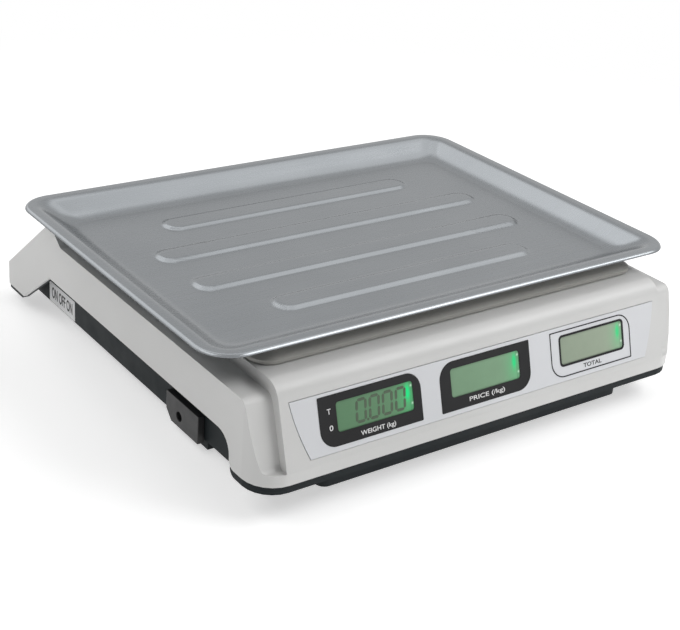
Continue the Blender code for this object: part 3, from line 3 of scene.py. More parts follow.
import bmesh
import bpy
import numpy as np
from mathutils import Matrix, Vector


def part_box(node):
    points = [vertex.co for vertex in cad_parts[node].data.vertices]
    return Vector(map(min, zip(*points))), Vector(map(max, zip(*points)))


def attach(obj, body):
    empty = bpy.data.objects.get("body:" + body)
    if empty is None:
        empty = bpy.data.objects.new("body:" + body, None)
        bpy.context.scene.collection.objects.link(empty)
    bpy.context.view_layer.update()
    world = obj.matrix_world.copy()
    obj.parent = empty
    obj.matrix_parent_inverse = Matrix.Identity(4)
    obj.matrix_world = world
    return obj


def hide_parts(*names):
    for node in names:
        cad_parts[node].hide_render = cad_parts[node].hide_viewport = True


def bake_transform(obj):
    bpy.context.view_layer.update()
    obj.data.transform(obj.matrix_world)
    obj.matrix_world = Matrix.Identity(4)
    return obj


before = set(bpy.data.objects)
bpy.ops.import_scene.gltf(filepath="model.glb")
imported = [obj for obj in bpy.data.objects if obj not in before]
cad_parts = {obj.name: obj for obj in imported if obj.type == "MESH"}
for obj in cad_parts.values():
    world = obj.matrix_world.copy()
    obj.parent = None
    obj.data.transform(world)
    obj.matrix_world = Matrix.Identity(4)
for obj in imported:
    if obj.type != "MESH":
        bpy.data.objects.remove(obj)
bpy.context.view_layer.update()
print("frame loaded:", len(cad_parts), "nodes")

# shared by all meshes: the distance at which points merge, and the angles, in degrees, above which an edge
# of a flat, moulded, turned or sheet piece stays sharp
meshLook = {"merge": 1e-7, "flat": 30.0, "moulded": 35.0, "turned": 40.0, "sheet": 60.0}


# quads of a grid of points, row by row; the columns of a closed grid meet round the loop
def gridFaces(rows, columns, closed):
    count = columns if closed else columns - 1
    row, column = np.meshgrid(np.arange(rows - 1), np.arange(count), indexing="ij")
    beside = (column + 1) % columns
    corners = (row * columns + column, row * columns + beside,
               (row + 1) * columns + beside, (row + 1) * columns + column)
    return np.stack(corners, axis=-1).reshape(-1, 4)


# points is (rows, columns, 3); caps close the first and last loop with one flat face each
def gridMesh(name, points, closed=True, caps=False):
    rows, columns = points.shape[:2]
    faces = gridFaces(rows, columns, closed).tolist()
    if caps:
        faces.append(list(range(columns)))
        faces.append(list(range((rows - 1) * columns, rows * columns)))
    mesh = bpy.data.meshes.new(name)
    mesh.from_pydata(points.reshape(-1, 3).tolist(), [], faces)
    return mesh


# a closed mesh: points that meet are merged, then every face is turned outwards
def faceOutwards(mesh):
    bm = bmesh.new()
    bm.from_mesh(mesh)
    bmesh.ops.remove_doubles(bm, verts=bm.verts, dist=meshLook["merge"])
    bmesh.ops.recalc_face_normals(bm, faces=bm.faces)
    bm.to_mesh(mesh)
    bm.free()
    return mesh


def addObject(name, data):
    thing = bpy.data.objects.new(name, data)
    bpy.context.scene.collection.objects.link(thing)
    return thing


def addPiece(name, mesh, material, body, nodes=(), smoothAngle=meshLook["moulded"]):
    piece = addObject(name, mesh)
    mesh.materials.clear()
    mesh.materials.append(material)
    mesh.shade_smooth()
    mesh.set_sharp_from_angle(angle=math.radians(smoothAngle))
    if body:
        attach(piece, body)
    if nodes:
        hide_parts(*nodes)
    return piece


# a closed grid of loops with both ends capped, as one piece
def addSolid(name, points, material, body, nodes=(), smoothAngle=meshLook["turned"]):
    addPiece(name, faceOutwards(gridMesh(name, points, caps=True)), material, body, nodes, smoothAngle)


# rises from nought to one with a level start and end
def smoothStep(share):
    return share * share * (3 - 2 * share)


# closed loops made of four corner arcs, anticlockwise from the lower left corner:
# each point is its corner's centre plus the corner's radius along a quarter turn
def cornerLoops(halfX, halfY, radius, steps):
    halfX = np.asarray(halfX, float).reshape(-1, 1, 1)
    halfY = np.asarray(halfY, float).reshape(-1, 1, 1)
    radius = np.atleast_2d(np.asarray(radius, float))
    radius = radius.reshape(radius.shape[0], -1, 1)
    turn = np.radians([180.0, 270.0, 0.0, 90.0])[:, None] + np.linspace(0, np.pi / 2, steps)
    signX = np.array([-1.0, 1.0, 1.0, -1.0])[:, None]
    signY = np.array([-1.0, -1.0, 1.0, 1.0])[:, None]
    x = signX * (halfX - radius) + radius * np.cos(turn)
    y = signY * (halfY - radius) + radius * np.sin(turn)
    return np.stack((x, y), axis=-1).reshape(x.shape[0], -1, 2)


# a turned shape: (radius, height) points carried round the Z axis
def turnedPoints(profile, sides):
    profile = np.asarray(profile, float)
    angle = np.linspace(0, 2 * np.pi, sides, endpoint=False)
    x = profile[:, :1] * np.cos(angle)
    y = profile[:, :1] * np.sin(angle)
    z = np.repeat(profile[:, 1:], sides, axis=1)
    return np.stack((x, y, z), axis=-1)


# a flat plate for each outline, all in one mesh: the outline at the low level, the same at the high one
def platesMesh(name, outlines, place, low, high):
    count, corners = outlines.shape[:2]
    x, y = np.repeat(outlines[None], 2, axis=0).transpose(3, 0, 1, 2)
    out = np.broadcast_to(np.array([low, high])[:, None, None], x.shape)
    number = np.arange(2 * count * corners).reshape(2, count, corners)
    beside = np.roll(number, -1, axis=2)
    sides = np.stack((number[0], beside[0], beside[1], number[1]), axis=-1).reshape(-1, 4)
    mesh = bpy.data.meshes.new(name)
    mesh.from_pydata(place(x, y, out).reshape(-1, 3).tolist(), [],
                     sides.tolist() + number.reshape(-1, corners).tolist())
    return faceOutwards(mesh)


def meshPoints(mesh):
    flat = np.empty(len(mesh.vertices) * 3)
    mesh.vertices.foreach_get("co", flat)
    return flat.reshape(-1, 3)


# how far a node reaches along a direction, measured from a starting point
def nodeReach(node, start, direction):
    reach = (meshPoints(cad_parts[node].data) - start) @ direction
    return reach.min(), reach.max()


# the middle of a node's foot
def nodeFoot(node):
    low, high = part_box(node)
    return np.array([(low.x + high.x) / 2, (low.y + high.y) / 2, low.z])


# size of the font for the height of its capitals
wordLook = {"sizePerHeight": 1.4}


# words become a flat mesh of the look's height, and of its width if it has one, then go to their place
def printWords(name, words, look, place, material, body="housing"):
    curve = bpy.data.curves.new(name, "FONT")
    curve.body = words
    curve.size = look["height"] * wordLook["sizePerHeight"]
    curve.offset = look["weight"]
    curve.extrude = look["ink"]
    holder = addObject(name, curve)
    bpy.context.view_layer.update()
    graph = bpy.context.evaluated_depsgraph_get()
    mesh = bpy.data.meshes.new_from_object(holder.evaluated_get(graph))
    bpy.data.objects.remove(holder)
    bpy.data.curves.remove(curve)
    flat = meshPoints(mesh)
    low, high = flat.min(axis=0), flat.max(axis=0)
    flat = flat - (low + high) / 2
    tall = look["height"] / (high[1] - low[1])
    wide = look["width"] / (high[0] - low[0]) if "width" in look else tall
    points = place(flat[:, 0] * wide + look["x"], flat[:, 1] * tall + look["up"], flat[:, 2] + look["out"])
    mesh.vertices.foreach_set("co", points.ravel())
    mesh.update()
    addPiece(name, faceOutwards(mesh), material, body, smoothAngle=meshLook["flat"])


# node materials; the span is the part of a noise's range that holds most of its values
noiseSpan = (0.3, 0.7)


def newMaterial(name):
    material = bpy.data.materials.new(name)
    material.use_nodes = True
    return material, material.node_tree, material.node_tree.nodes["Principled BSDF"]


def addNode(tree, kind, **settings):
    node = tree.nodes.new("ShaderNode" + kind)
    for name, value in settings.items():
        setattr(node, name, value)
    return node


def setInputs(node, values):
    for name, value in values.items():
        node.inputs[name].default_value = value


def objectPoint(tree, stretch=(1.0, 1.0, 1.0)):
    coordinates = addNode(tree, "TexCoord")
    mapping = addNode(tree, "Mapping")
    setInputs(mapping, {"Scale": stretch})
    tree.links.new(coordinates.outputs["Object"], mapping.inputs["Vector"])
    return mapping.outputs["Vector"]


def noiseOn(tree, point, scale, detail):
    noise = addNode(tree, "TexNoise")
    setInputs(noise, {"Scale": scale, "Detail": detail})
    tree.links.new(point, noise.inputs["Vector"])
    return noise.outputs["Fac"]


def toneBetween(tree, factor, deep, pale):
    ramp = addNode(tree, "ValToRGB")
    for stop, place, tone in zip(ramp.color_ramp.elements, noiseSpan, (deep, pale)):
        stop.position = place
        stop.color = (*tone, 1.0)
    tree.links.new(factor, ramp.inputs["Fac"])
    return ramp.outputs["Color"]


def rangeBetween(tree, factor, low, high, span=noiseSpan, curve="LINEAR"):
    spread = addNode(tree, "MapRange", interpolation_type=curve)
    setInputs(spread, {"From Min": span[0], "From Max": span[1], "To Min": low, "To Max": high})
    tree.links.new(factor, spread.inputs["Value"])
    return spread.outputs["Result"]


def bumpInto(tree, shader, height, depth, strength):
    bump = addNode(tree, "Bump")
    setInputs(bump, {"Strength": strength, "Distance": depth})
    tree.links.new(height, bump.inputs["Height"])
    tree.links.new(bump.outputs["Normal"], shader.inputs["Normal"])


# a moulded or printed finish: slow drift of the colour, patchy gloss and a fine grain
grainLook = {"stretch": (1.0, 1.0, 1.0), "details": (3.0, 4.0, 2.0), "bump": 0.35, "metallic": 0.0,
             "specular": 0.5}


def grainFinish(look):
    look = {**grainLook, **look}
    material, tree, shader = newMaterial(look["name"])
    point = objectPoint(tree, look["stretch"])
    drift, patch, grain = (noiseOn(tree, point, *pair) for pair in zip(look["scales"], look["details"]))
    tree.links.new(toneBetween(tree, drift, *look["tones"]), shader.inputs["Base Color"])
    tree.links.new(rangeBetween(tree, patch, *look["rough"]), shader.inputs["Roughness"])
    bumpInto(tree, shader, grain, look["depth"], look["bump"])
    setInputs(shader, {"Metallic": look["metallic"], "Specular IOR Level": look["specular"]})
    return material


# each finish: two tones, scales of the drift, the patches and the grain, roughness and depth of the grain
finishLooks = {
    "shell": {"name": "shell_plastic", "tones": ((0.652, 0.652, 0.642), (0.696, 0.696, 0.688)),
              "scales": (9.0, 60.0, 2600.0), "rough": (0.32, 0.40), "depth": 0.00003, "specular": 0.4},
    # painted shade: the carrier is white plastic like the shell, but its tones are kept far darker so that it
    # shows the deep shade under the tray
    "carrier": {"name": "carrier_plastic_darkened_for_shade", "tones": ((0.360, 0.356, 0.335), (0.400, 0.396, 0.373)),
                "scales": (9.0, 60.0, 2600.0), "rough": (0.45, 0.55), "depth": 0.00004, "specular": 0.35},
    "base": {"name": "base_plastic", "tones": ((0.012, 0.016, 0.018), (0.018, 0.022, 0.024)),
             "scales": (12.0, 80.0, 2000.0), "rough": (0.48, 0.60), "depth": 0.00006, "specular": 0.14},
    "black": {"name": "black_plastic", "tones": ((0.010, 0.010, 0.011), (0.017, 0.017, 0.018)),
              "scales": (25.0, 120.0, 2400.0), "rough": (0.35, 0.5), "depth": 0.00005},
    "film": {"name": "overlay_film", "tones": ((0.700, 0.712, 0.735), (0.750, 0.760, 0.785)),
             "scales": (14.0, 90.0, 4200.0), "rough": (0.30, 0.38), "depth": 0.00002, "specular": 0.35},
    "print": {"name": "black_print", "tones": ((0.006, 0.006, 0.007), (0.011, 0.011, 0.012)),
              "scales": (30.0, 140.0, 4200.0), "rough": (0.30, 0.40), "depth": 0.00002, "specular": 0.2},
    "keypad": {"name": "keypad_film", "tones": ((0.400, 0.440, 0.500), (0.450, 0.490, 0.550)),
               "scales": (14.0, 90.0, 4200.0), "rough": (0.32, 0.42), "depth": 0.00002, "specular": 0.35},
    "cell": {"name": "battery_case", "tones": ((0.030, 0.034, 0.042), (0.042, 0.047, 0.056)),
             "scales": (18.0, 90.0, 1500.0), "rough": (0.5, 0.62), "depth": 0.00008, "specular": 0.35},
    "whitePrint": {"name": "white_print", "tones": ((0.72, 0.72, 0.72), (0.82, 0.82, 0.82)),
                   "scales": (60.0, 140.0, 5000.0), "rough": (0.4, 0.5), "depth": 0.00001},
    "key": {"name": "key_plastic", "tones": ((0.56, 0.57, 0.58), (0.62, 0.63, 0.64)),
            "scales": (20.0, 150.0, 3000.0), "rough": (0.42, 0.55), "depth": 0.00004},
    "blueKey": {"name": "blue_key_plastic", "tones": ((0.060, 0.130, 0.240), (0.080, 0.160, 0.285)),
                "scales": (20.0, 150.0, 3000.0), "rough": (0.42, 0.55), "depth": 0.00004},
    "figure": {"name": "lcd_figures", "tones": ((0.106, 0.146, 0.100), (0.120, 0.162, 0.113)),
               "scales": (90.0, 200.0, 4000.0), "rough": (0.20, 0.30), "depth": 0.00001, "specular": 0.1},
    "rubber": {"name": "foot_rubber", "tones": ((0.014, 0.014, 0.014), (0.024, 0.024, 0.024)),
               "scales": (60.0, 200.0, 1800.0), "rough": (0.7, 0.85), "depth": 0.00008},
    "aluminium": {"name": "milled_aluminium", "tones": ((0.58, 0.59, 0.60), (0.68, 0.69, 0.70)),
                  "scales": (40.0, 200.0, 900.0), "rough": (0.32, 0.45), "depth": 0.00003, "metallic": 1.0,
                  "stretch": (0.15, 1.0, 1.0)},
    "bolt": {"name": "plated_steel", "tones": ((0.42, 0.42, 0.43), (0.55, 0.55, 0.56)),
             "scales": (120.0, 300.0, 2500.0), "rough": (0.25, 0.4), "depth": 0.00002, "metallic": 1.0},
    "board": {"name": "circuit_board", "tones": ((0.012, 0.090, 0.036), (0.030, 0.150, 0.062)),
              "scales": (160.0, 400.0, 900.0), "rough": (0.35, 0.55), "depth": 0.00006},
    "sticker": {"name": "switch_sticker", "tones": ((0.80, 0.80, 0.81), (0.86, 0.86, 0.87)),
                "scales": (50.0, 150.0, 3500.0), "rough": (0.45, 0.6), "depth": 0.00002},
}
finishes = {part: grainFinish(look) for part, look in finishLooks.items()}

# satin stainless sheet: rolling streaks along X over a very fine grain; its tones are far darker than steel
# reflects, a painted dim reflection that stands in for the darker room it reflects
steelLook = {"tones": ((0.204, 0.216, 0.227), (0.224, 0.236, 0.247)), "streaks": (30.0, 420.0, 60.0),
             "streakDetail": 4.0, "cloud": 22.0, "cloudDetail": 3.0, "cloudShare": 0.7, "rough": (0.26, 0.29),
             "grain": 6500.0, "grainDetail": 2.0, "depth": 0.0000012, "bump": 0.3}


def steelFinish(look):
    material, tree, shader = newMaterial("satin_stainless_dimmed_for_shade")
    streak = noiseOn(tree, objectPoint(tree, look["streaks"]), 1.0, look["streakDetail"])
    point = objectPoint(tree)
    cloud = noiseOn(tree, point, look["cloud"], look["cloudDetail"])
    blend = addNode(tree, "Mix")
    setInputs(blend, {"Factor": look["cloudShare"]})
    tree.links.new(streak, blend.inputs["A"])
    tree.links.new(cloud, blend.inputs["B"])
    tree.links.new(toneBetween(tree, blend.outputs["Result"], *look["tones"]), shader.inputs["Base Color"])
    tree.links.new(rangeBetween(tree, streak, *look["rough"]), shader.inputs["Roughness"])
    grain = noiseOn(tree, point, look["grain"], look["grainDetail"])
    bumpInto(tree, shader, grain, look["depth"], look["bump"])
    setInputs(shader, {"Metallic": 1.0})
    return material


steel = steelFinish(steelLook)
print("finishes made:", len(finishes) + 1)

# places taken from the frame: the slanted faces of the two printed films
filmLook = {"thickness": 0.001, "panelLean": math.radians(17.5), "keypadTilt": math.radians(38.3)}
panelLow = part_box("customer_overlay")[0]
leanSin, leanCos = math.sin(filmLook["panelLean"]), math.cos(filmLook["panelLean"])
panelFoot = np.array([0.0, panelLow.y, panelLow.z + filmLook["thickness"] * leanSin])
panelUp = np.array([0.0, leanSin, leanCos])
panelOut = np.array([0.0, -leanCos, leanSin])
keypadLow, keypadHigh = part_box("keypad_overlay")
tiltSin, tiltCos = math.sin(filmLook["keypadTilt"]), math.cos(filmLook["keypadTilt"])
keypadTop = np.array([0.0, keypadLow.y + filmLook["thickness"] * tiltSin, keypadHigh.z])
keypadDown = np.array([0.0, tiltCos, -tiltSin])
keypadOut = np.array([0.0, tiltSin, tiltCos])
along = np.array([1.0, 0.0, 0.0])


# a point on the customer panel: x, then up the slope from the film's foot, then out of its face
def onPanel(x, up, out):
    return panelFoot + x[..., None] * along + up[..., None] * panelUp + out[..., None] * panelOut


# a point on the vendor slope, read by someone at +Y: right is -X, up is up the slope
def onKeypad(x, up, out):
    return keypadTop - x[..., None] * along - up[..., None] * keypadDown + out[..., None] * keypadOut


# moulded pieces keep their solid's shape and get soft edges; flat and sharp are the angles
# below which faces join and above which an edge is rounded
softLook = {"body": "housing", "segments": 2, "merge": 1e-5, "flat": math.radians(0.6),
            "sharp": math.radians(32.0)}
softLooks = {
    "top_shell": {"finish": "shell", "slot": "white_plastic", "edge": 0.0008, "segments": 3},
    "base": {"finish": "base", "slot": "charcoal_plastic", "edge": 0.0004},
    "pan_carrier": {"finish": "carrier", "slot": "white_plastic", "edge": 0.0006, "body": "platform"},
    "charger_socket": {"finish": "black", "slot": "black_plastic", "edge": 0.0003},
    "battery_door": {"finish": "base", "slot": "charcoal_plastic", "edge": 0.0003},
    "power_switch_body": {"finish": "black", "slot": "black_plastic", "edge": 0.0002},
    "power_rocker": {"finish": "black", "slot": "black_plastic", "edge": 0.0003, "body": "rocker"},
}


def softPiece(node, look):
    bm = bmesh.new()
    bm.from_mesh(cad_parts[node].data)
    bmesh.ops.remove_doubles(bm, verts=bm.verts, dist=look["merge"])
    bmesh.ops.dissolve_limit(bm, angle_limit=look["flat"], verts=bm.verts, edges=bm.edges)
    mesh = bpy.data.meshes.new(node + "_soft")
    bm.to_mesh(mesh)
    bm.free()
    piece = addPiece(node + "_soft", mesh, finishes[look["finish"]], look["body"], [node])
    edge = piece.modifiers.new("edge", "BEVEL")
    edge.width = look["edge"]
    edge.segments = look["segments"]
    edge.limit_method = "ANGLE"
    edge.angle_limit = look["sharp"]
    edge.miter_outer = "MITER_ARC"
    even = piece.modifiers.new("even", "WEIGHTED_NORMAL")
    even.keep_sharp = True


for node, look in softLooks.items():
    softPiece(node, {**softLook, **look})
print("moulded pieces softened:", len(softLooks))

# weighing tray: pressed sheet with a turned lip, a flat flange, sloped walls and four beads
trayLook = {"roll": 0.0024, "rollStart": math.radians(20.0), "flange": 0.0085, "runX": 0.0220, "runY": 0.0243,
            "dish": 0.0100, "flangeBend": 0.0060, "footBend": 0.0120, "rimRadius": 0.021,
            "shoulderRadius": 0.0125, "floorRadius": 0.010, "leastRadius": 0.0004, "slit": 0.0006,
            "sheet": 0.0008, "beadWidth": 0.020, "beadHeight": 0.0015, "beadRamp": 0.0030,
            "beads": ((-0.064, 0.192), (-0.022, 0.247), (0.022, 0.247), (0.064, 0.192)), "rollSteps": 12,
            "landSteps": 5, "wallSteps": 26, "sideSteps": (150, 66), "cornerSteps": 12, "floorRings": 64}


# section from the rolled lip to the floor: distance in from the rim and height below it, the lip an arc;
# the wall's height is the running sum of a slope that grows over one bend and fades over the other
def traySection(look):
    angle = np.linspace(look["rollStart"], np.pi / 2, look["rollSteps"])
    rollIn = np.cos(look["rollStart"]) - np.cos(angle)
    roll = look["roll"] * np.stack((rollIn, np.sin(angle) - 1), axis=1)
    start = look["flange"] - look["flangeBend"] / 2
    land = np.linspace(roll[-1, 0], start, look["landSteps"])[1:-1]
    land = np.stack((land, np.zeros_like(land)), axis=1)
    depth = np.linspace(start, look["runY"] + look["footBend"] / 2, look["wallSteps"])
    knees = [start, look["flange"] + look["flangeBend"] / 2, look["runY"] - look["footBend"] / 2, depth[-1]]
    slope = np.interp(depth, knees, [0.0, 1.0, 1.0, 0.0])
    fall = np.concatenate(([0.0], np.cumsum((slope[1:] + slope[:-1]) / 2)))
    wall = np.stack((depth, -look["dish"] * fall / fall[-1]), axis=1)
    return np.concatenate((roll, land, wall))


# raised stadium beads: height is a smooth step of the distance inside the bead's outline
def beadHeight(x, y, look):
    total = np.zeros_like(x)
    for rowY, length in look["beads"]:
        reach = (length - look["beadWidth"]) / 2
        away = np.hypot(x - np.clip(x, -reach, reach), y - rowY)
        share = np.clip((look["beadWidth"] / 2 - away) / look["beadRamp"], 0.0, 1.0)
        total = total + look["beadHeight"] * smoothStep(share)
    return total


# perimeter of a rounded rectangle: straight sides and corner arcs as centre shares and arc directions
def perimeterShares(look):
    longSide, shortSide = look["sideSteps"]
    arc = np.linspace(0, np.pi / 2, look["cornerSteps"], endpoint=False)
    shares = []
    sides = ((longSide, (-1, -1), (1, -1), 270), (shortSide, (1, -1), (1, 1), 0),
             (longSide, (1, 1), (-1, 1), 90), (shortSide, (-1, 1), (-1, -1), 180))
    for count, first, last, facing in sides:
        step = np.linspace(0, 1, count, endpoint=False)[:, None]
        centre = np.array(first) * (1 - step) + np.array(last) * step
        normal = np.radians(np.full(count, facing))
        shares.append(np.column_stack((centre, np.cos(normal), np.sin(normal))))
        angle = np.radians(facing) + arc
        corner = np.tile(np.array(last, float), (len(arc), 1))
        shares.append(np.column_stack((corner, np.cos(angle), np.sin(angle))))
    return np.concatenate(shares).T


def buildTray(look):
    low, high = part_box("weighing_tray")
    middle = (low + high) / 2
    halfX = (high.x - low.x) / 2
    halfY = (high.y - low.y) / 2
    section = traySection(look)
    inY = section[:, 0]
    pinch = (look["runX"] - look["flange"]) / (look["runY"] - look["flange"])
    inX = np.where(inY < look["flange"], inY, look["flange"] + (inY - look["flange"]) * pinch)
    radius = np.interp(inY, [0.0, look["flange"], look["runY"]],
                       [look["rimRadius"], look["shoulderRadius"], look["floorRadius"]])
    # the floor goes on as rings that shrink evenly to a slit along the middle
    inward = np.linspace(0, halfY - inY[-1] - look["slit"], look["floorRings"])[1:]
    inX = np.concatenate((inX, inX[-1] + inward))
    inY = np.concatenate((inY, inY[-1] + inward))
    radius = np.concatenate((radius, np.clip(look["floorRadius"] - inward, look["leastRadius"], None)))
    height = np.concatenate((section[:, 1], np.full(len(inward), -look["dish"])))
    shareX, shareY, faceX, faceY = perimeterShares(look)
    x = (halfX - inX - radius)[:, None] * shareX + radius[:, None] * faceX
    y = (halfY - inY - radius)[:, None] * shareY + radius[:, None] * faceY
    z = high.z + height[:, None] + beadHeight(x, y, look)
    points = np.stack((x + middle.x, y + middle.y, z), axis=-1)
    mesh = gridMesh("tray_sheet", points)
    bm = bmesh.new()
    bm.from_mesh(mesh)
    bm.verts.ensure_lookup_table()
    columns = points.shape[1]
    bm.faces.new(bm.verts[-columns:])
    bmesh.ops.recalc_face_normals(bm, faces=bm.faces)
    bm.faces.ensure_lookup_table()
    if bm.faces[-1].normal.z < 0:
        bmesh.ops.reverse_faces(bm, faces=bm.faces)
    bm.to_mesh(mesh)
    bm.free()
    tray = addPiece("tray_sheet", mesh, steel, "tray", ["weighing_tray"],
                    meshLook["sheet"])
    sheet = tray.modifiers.new("sheet", "SOLIDIFY")
    sheet.thickness = look["sheet"]
    sheet.offset = -1.0


buildTray(trayLook)
print("tray pressed")

# prints start a little below their face and stand a little proud of it
printLook = {"sunk": -0.00004, "proud": 0.00012, "steps": 14}

# printed frames on the customer film, corner radii from the lower left round to the upper left
frameLooks = {
    "bezel_1": {"x": (-0.1182, -0.0500), "up": (0.0029, 0.0315), "radii": (0.0100, 0.0006, 0.0100, 0.0006)},
    "bezel_2": {"x": (-0.0366, 0.0308), "up": (0.0027, 0.0312), "radii": (0.0006, 0.0100, 0.0006, 0.0100)},
}
windowLook = {"width": 0.0520, "height": 0.0175, "radius": 0.0020, "rise": 0.0185, "overhang": 0.0004}
lineLook = {"x": (0.0474, 0.1137), "up": (0.0026, 0.0310), "radii": (0.0100, 0.0006, 0.0100, 0.0006),
            "line": 0.0007, "leastRadius": 0.0004, "border": 0.0009}


# a flat ring between two outlines of four corner arcs: up the outer edge, across, down the inner edge
def printRing(name, outer, inner, place):
    sunk, proud = printLook["sunk"], printLook["proud"]
    loops = []
    for outline, out in ((outer, sunk), (outer, proud), (inner, proud), (inner, sunk), (outer, sunk)):
        (left, right), (low, high), radii = outline
        loop = cornerLoops((right - left) / 2, (high - low) / 2, [radii], printLook["steps"])[0]
        loop = loop + [(left + right) / 2, (low + high) / 2]
        loops.append(place(loop[:, 0], loop[:, 1], np.full(len(loop), out)))
    mesh = faceOutwards(gridMesh(name, np.stack(loops)))
    addPiece(name, mesh, finishes["print"], "housing", smoothAngle=meshLook["flat"])


# outline of a display's window; a print that frames it overhangs its edge unless told to grow
def windowOutline(middle, rise, grow=-windowLook["overhang"]):
    halfX = windowLook["width"] / 2 + grow
    halfY = windowLook["height"] / 2 + grow
    radius = windowLook["radius"] + max(grow, 0.0)
    return (middle - halfX, middle + halfX), (rise - halfY, rise + halfY), (radius,) * 4


def buildPanelPrint():
    rise = windowLook["rise"]
    for number, (name, look) in enumerate(frameLooks.items(), 1):
        middle = nodeFoot("customer_display_%d" % number)[0]
        printRing(name, (look["x"], look["up"], look["radii"]), windowOutline(middle, rise), onPanel)
    inset = lineLook["line"]
    (left, right), (low, high) = lineLook["x"], lineLook["up"]
    radii = tuple(max(radius - inset, lineLook["leastRadius"]) for radius in lineLook["radii"])
    inner = ((left + inset, right - inset), (low + inset, high - inset), radii)
    printRing("total_outline", (lineLook["x"], lineLook["up"], lineLook["radii"]), inner, onPanel)
    middle = nodeFoot("customer_display_3")[0]
    outer = windowOutline(middle, rise, lineLook["border"])
    printRing("total_border", outer, windowOutline(middle, rise), onPanel)


buildPanelPrint()

# lit display glass: a green field, darker towards the left, with painted shade round its edges and a bright
# lamp near its right end
lcdLook = {"sunk": 0.0002, "thickness": 0.0008, "margin": 0.0003, "columns": 104, "rows": 36,
           "paintedRimShade": 0.72, "paintedRimShadeWidth": 0.0016, "leftTone": 0.90, "rightGain": 0.16,
           "stripX": 0.0239, "stripWidth": 0.0005, "stripShade": 0.30,
           "spotX": 0.0220, "spotUp": 0.0026, "spotWidth": 0.0015, "spotHeight": 0.0040,
           "haloSpread": 4.0, "haloHeight": 0.012, "haloShare": 0.30,
           "paintedGlints": ((0.0247, 0.0058), (0.0249, -0.0042)), "paintedGlintSize": 0.0006, "paintedGlintStrength": 0.45,
           "cloud": 140.0, "cloudDetail": 2.0, "mottle": 0.25, "mottleTones": ((0.85,) * 3, (1.0,) * 3),
           "rough": (0.10, 0.16), "glow": 0.3, "specular": 0.15}
lcdFields = {
    "customer_display_1": {"field": (0.105, 0.215, 0.118), "lamp": (0.01, 0.70, 0.21)},
    "customer_display_2": {"field": (0.172, 0.288, 0.181), "lamp": (0.03, 0.58, 0.20)},
    "customer_display_3": {"field": (0.268, 0.322, 0.244), "lamp": (0.06, 0.56, 0.21)},
    "vendor_display_1": {"field": (0.115, 0.235, 0.130), "lamp": (0.02, 0.60, 0.20)},
    "vendor_display_2": {"field": (0.150, 0.270, 0.165), "lamp": (0.02, 0.60, 0.20)},
    "vendor_display_3": {"field": (0.150, 0.270, 0.165), "lamp": (0.02, 0.60, 0.20)},
}


def lcdFinish(look):
    material, tree, shader = newMaterial("lcd_glass")
    tint = addNode(tree, "Attribute", attribute_name="tint")
    cloud = noiseOn(tree, objectPoint(tree), look["cloud"], look["cloudDetail"])
    mottle = addNode(tree, "Mix", data_type="RGBA", blend_type="MULTIPLY")
    setInputs(mottle, {"Factor": look["mottle"]})
    tree.links.new(tint.outputs["Color"], mottle.inputs["A"])
    tree.links.new(toneBetween(tree, cloud, *look["mottleTones"]), mottle.inputs["B"])
    tree.links.new(mottle.outputs["Result"], shader.inputs["Base Color"])
    tree.links.new(mottle.outputs["Result"], shader.inputs["Emission Color"])
    tree.links.new(rangeBetween(tree, cloud, *look["rough"]), shader.inputs["Roughness"])
    setInputs(shader, {"Emission Strength": look["glow"], "Specular IOR Level": look["specular"]})
    return material


lcdGlass = lcdFinish(lcdLook)


# colour of the glass: the field with painted shade towards its edges, darker towards the left and along a strip
# near its right end, plus a soft upright lamp and two small painted glints of reflected light
def lcdTint(x, up, fields, look):
    across = x / windowLook["width"] + 0.5
    rise = up / windowLook["height"] + 0.5
    # painted shade: the field darkens towards the window's edges, where the frame's shade falls
    edge = np.minimum(np.minimum(across, 1 - across) * windowLook["width"],
                      np.minimum(rise, 1 - rise) * windowLook["height"])
    shade = look["paintedRimShade"] + (1 - look["paintedRimShade"]) * np.clip(edge / look["paintedRimShadeWidth"], 0, 1)
    shade = shade * (look["leftTone"] + look["rightGain"] * across)
    shade = shade * (1 - look["stripShade"] * np.exp(-((x - look["stripX"]) / look["stripWidth"]) ** 2))
    aside = (x - look["spotX"]) / look["spotWidth"]
    halo = np.exp(-(aside / look["haloSpread"]) ** 2 - (up / look["haloHeight"]) ** 2)
    spot = np.exp(-aside ** 2 - ((up - look["spotUp"]) / look["spotHeight"]) ** 2)
    lamp = np.clip(spot + look["haloShare"] * halo, 0, 1)[..., None]
    colour = np.array(fields["field"]) * shade[..., None] * (1 - lamp) + np.array(fields["lamp"]) * lamp
    # painted highlight: two small glints of reflected light are added to the glass colour
    for paintedGlintX, paintedGlintUp in look["paintedGlints"]:
        away = np.hypot(x - paintedGlintX, up - paintedGlintUp) / look["paintedGlintSize"]
        colour = colour + look["paintedGlintStrength"] * np.exp(-away ** 2)[..., None]
    return np.concatenate((colour, np.ones(colour.shape[:-1] + (1,))), axis=-1)


def buildDisplay(node, place, rise, sign):
    middle = nodeFoot(node)[0] * sign
    halfX = windowLook["width"] / 2 - lcdLook["margin"]
    halfY = windowLook["height"] / 2 - lcdLook["margin"]
    up, x = np.meshgrid(np.linspace(-halfY, halfY, lcdLook["rows"]),
                        np.linspace(-halfX, halfX, lcdLook["columns"]), indexing="ij")
    points = place(x + middle, up + rise, np.full(x.shape, -lcdLook["sunk"]))
    mesh = gridMesh(node + "_glass", points, closed=False)
    tint = mesh.attributes.new("tint", "FLOAT_COLOR", "POINT")
    tint.data.foreach_set("color", lcdTint(x, up, lcdFields[node], lcdLook).ravel())
    glass = addPiece(node + "_glass", mesh, lcdGlass, "housing")
    depth = glass.modifiers.new("depth", "SOLIDIFY")
    depth.thickness = lcdLook["thickness"]
    depth.offset = -1.0


for number in (1, 2, 3):
    buildDisplay("customer_display_%d" % number, onPanel, windowLook["rise"], 1.0)
print("customer displays lit")

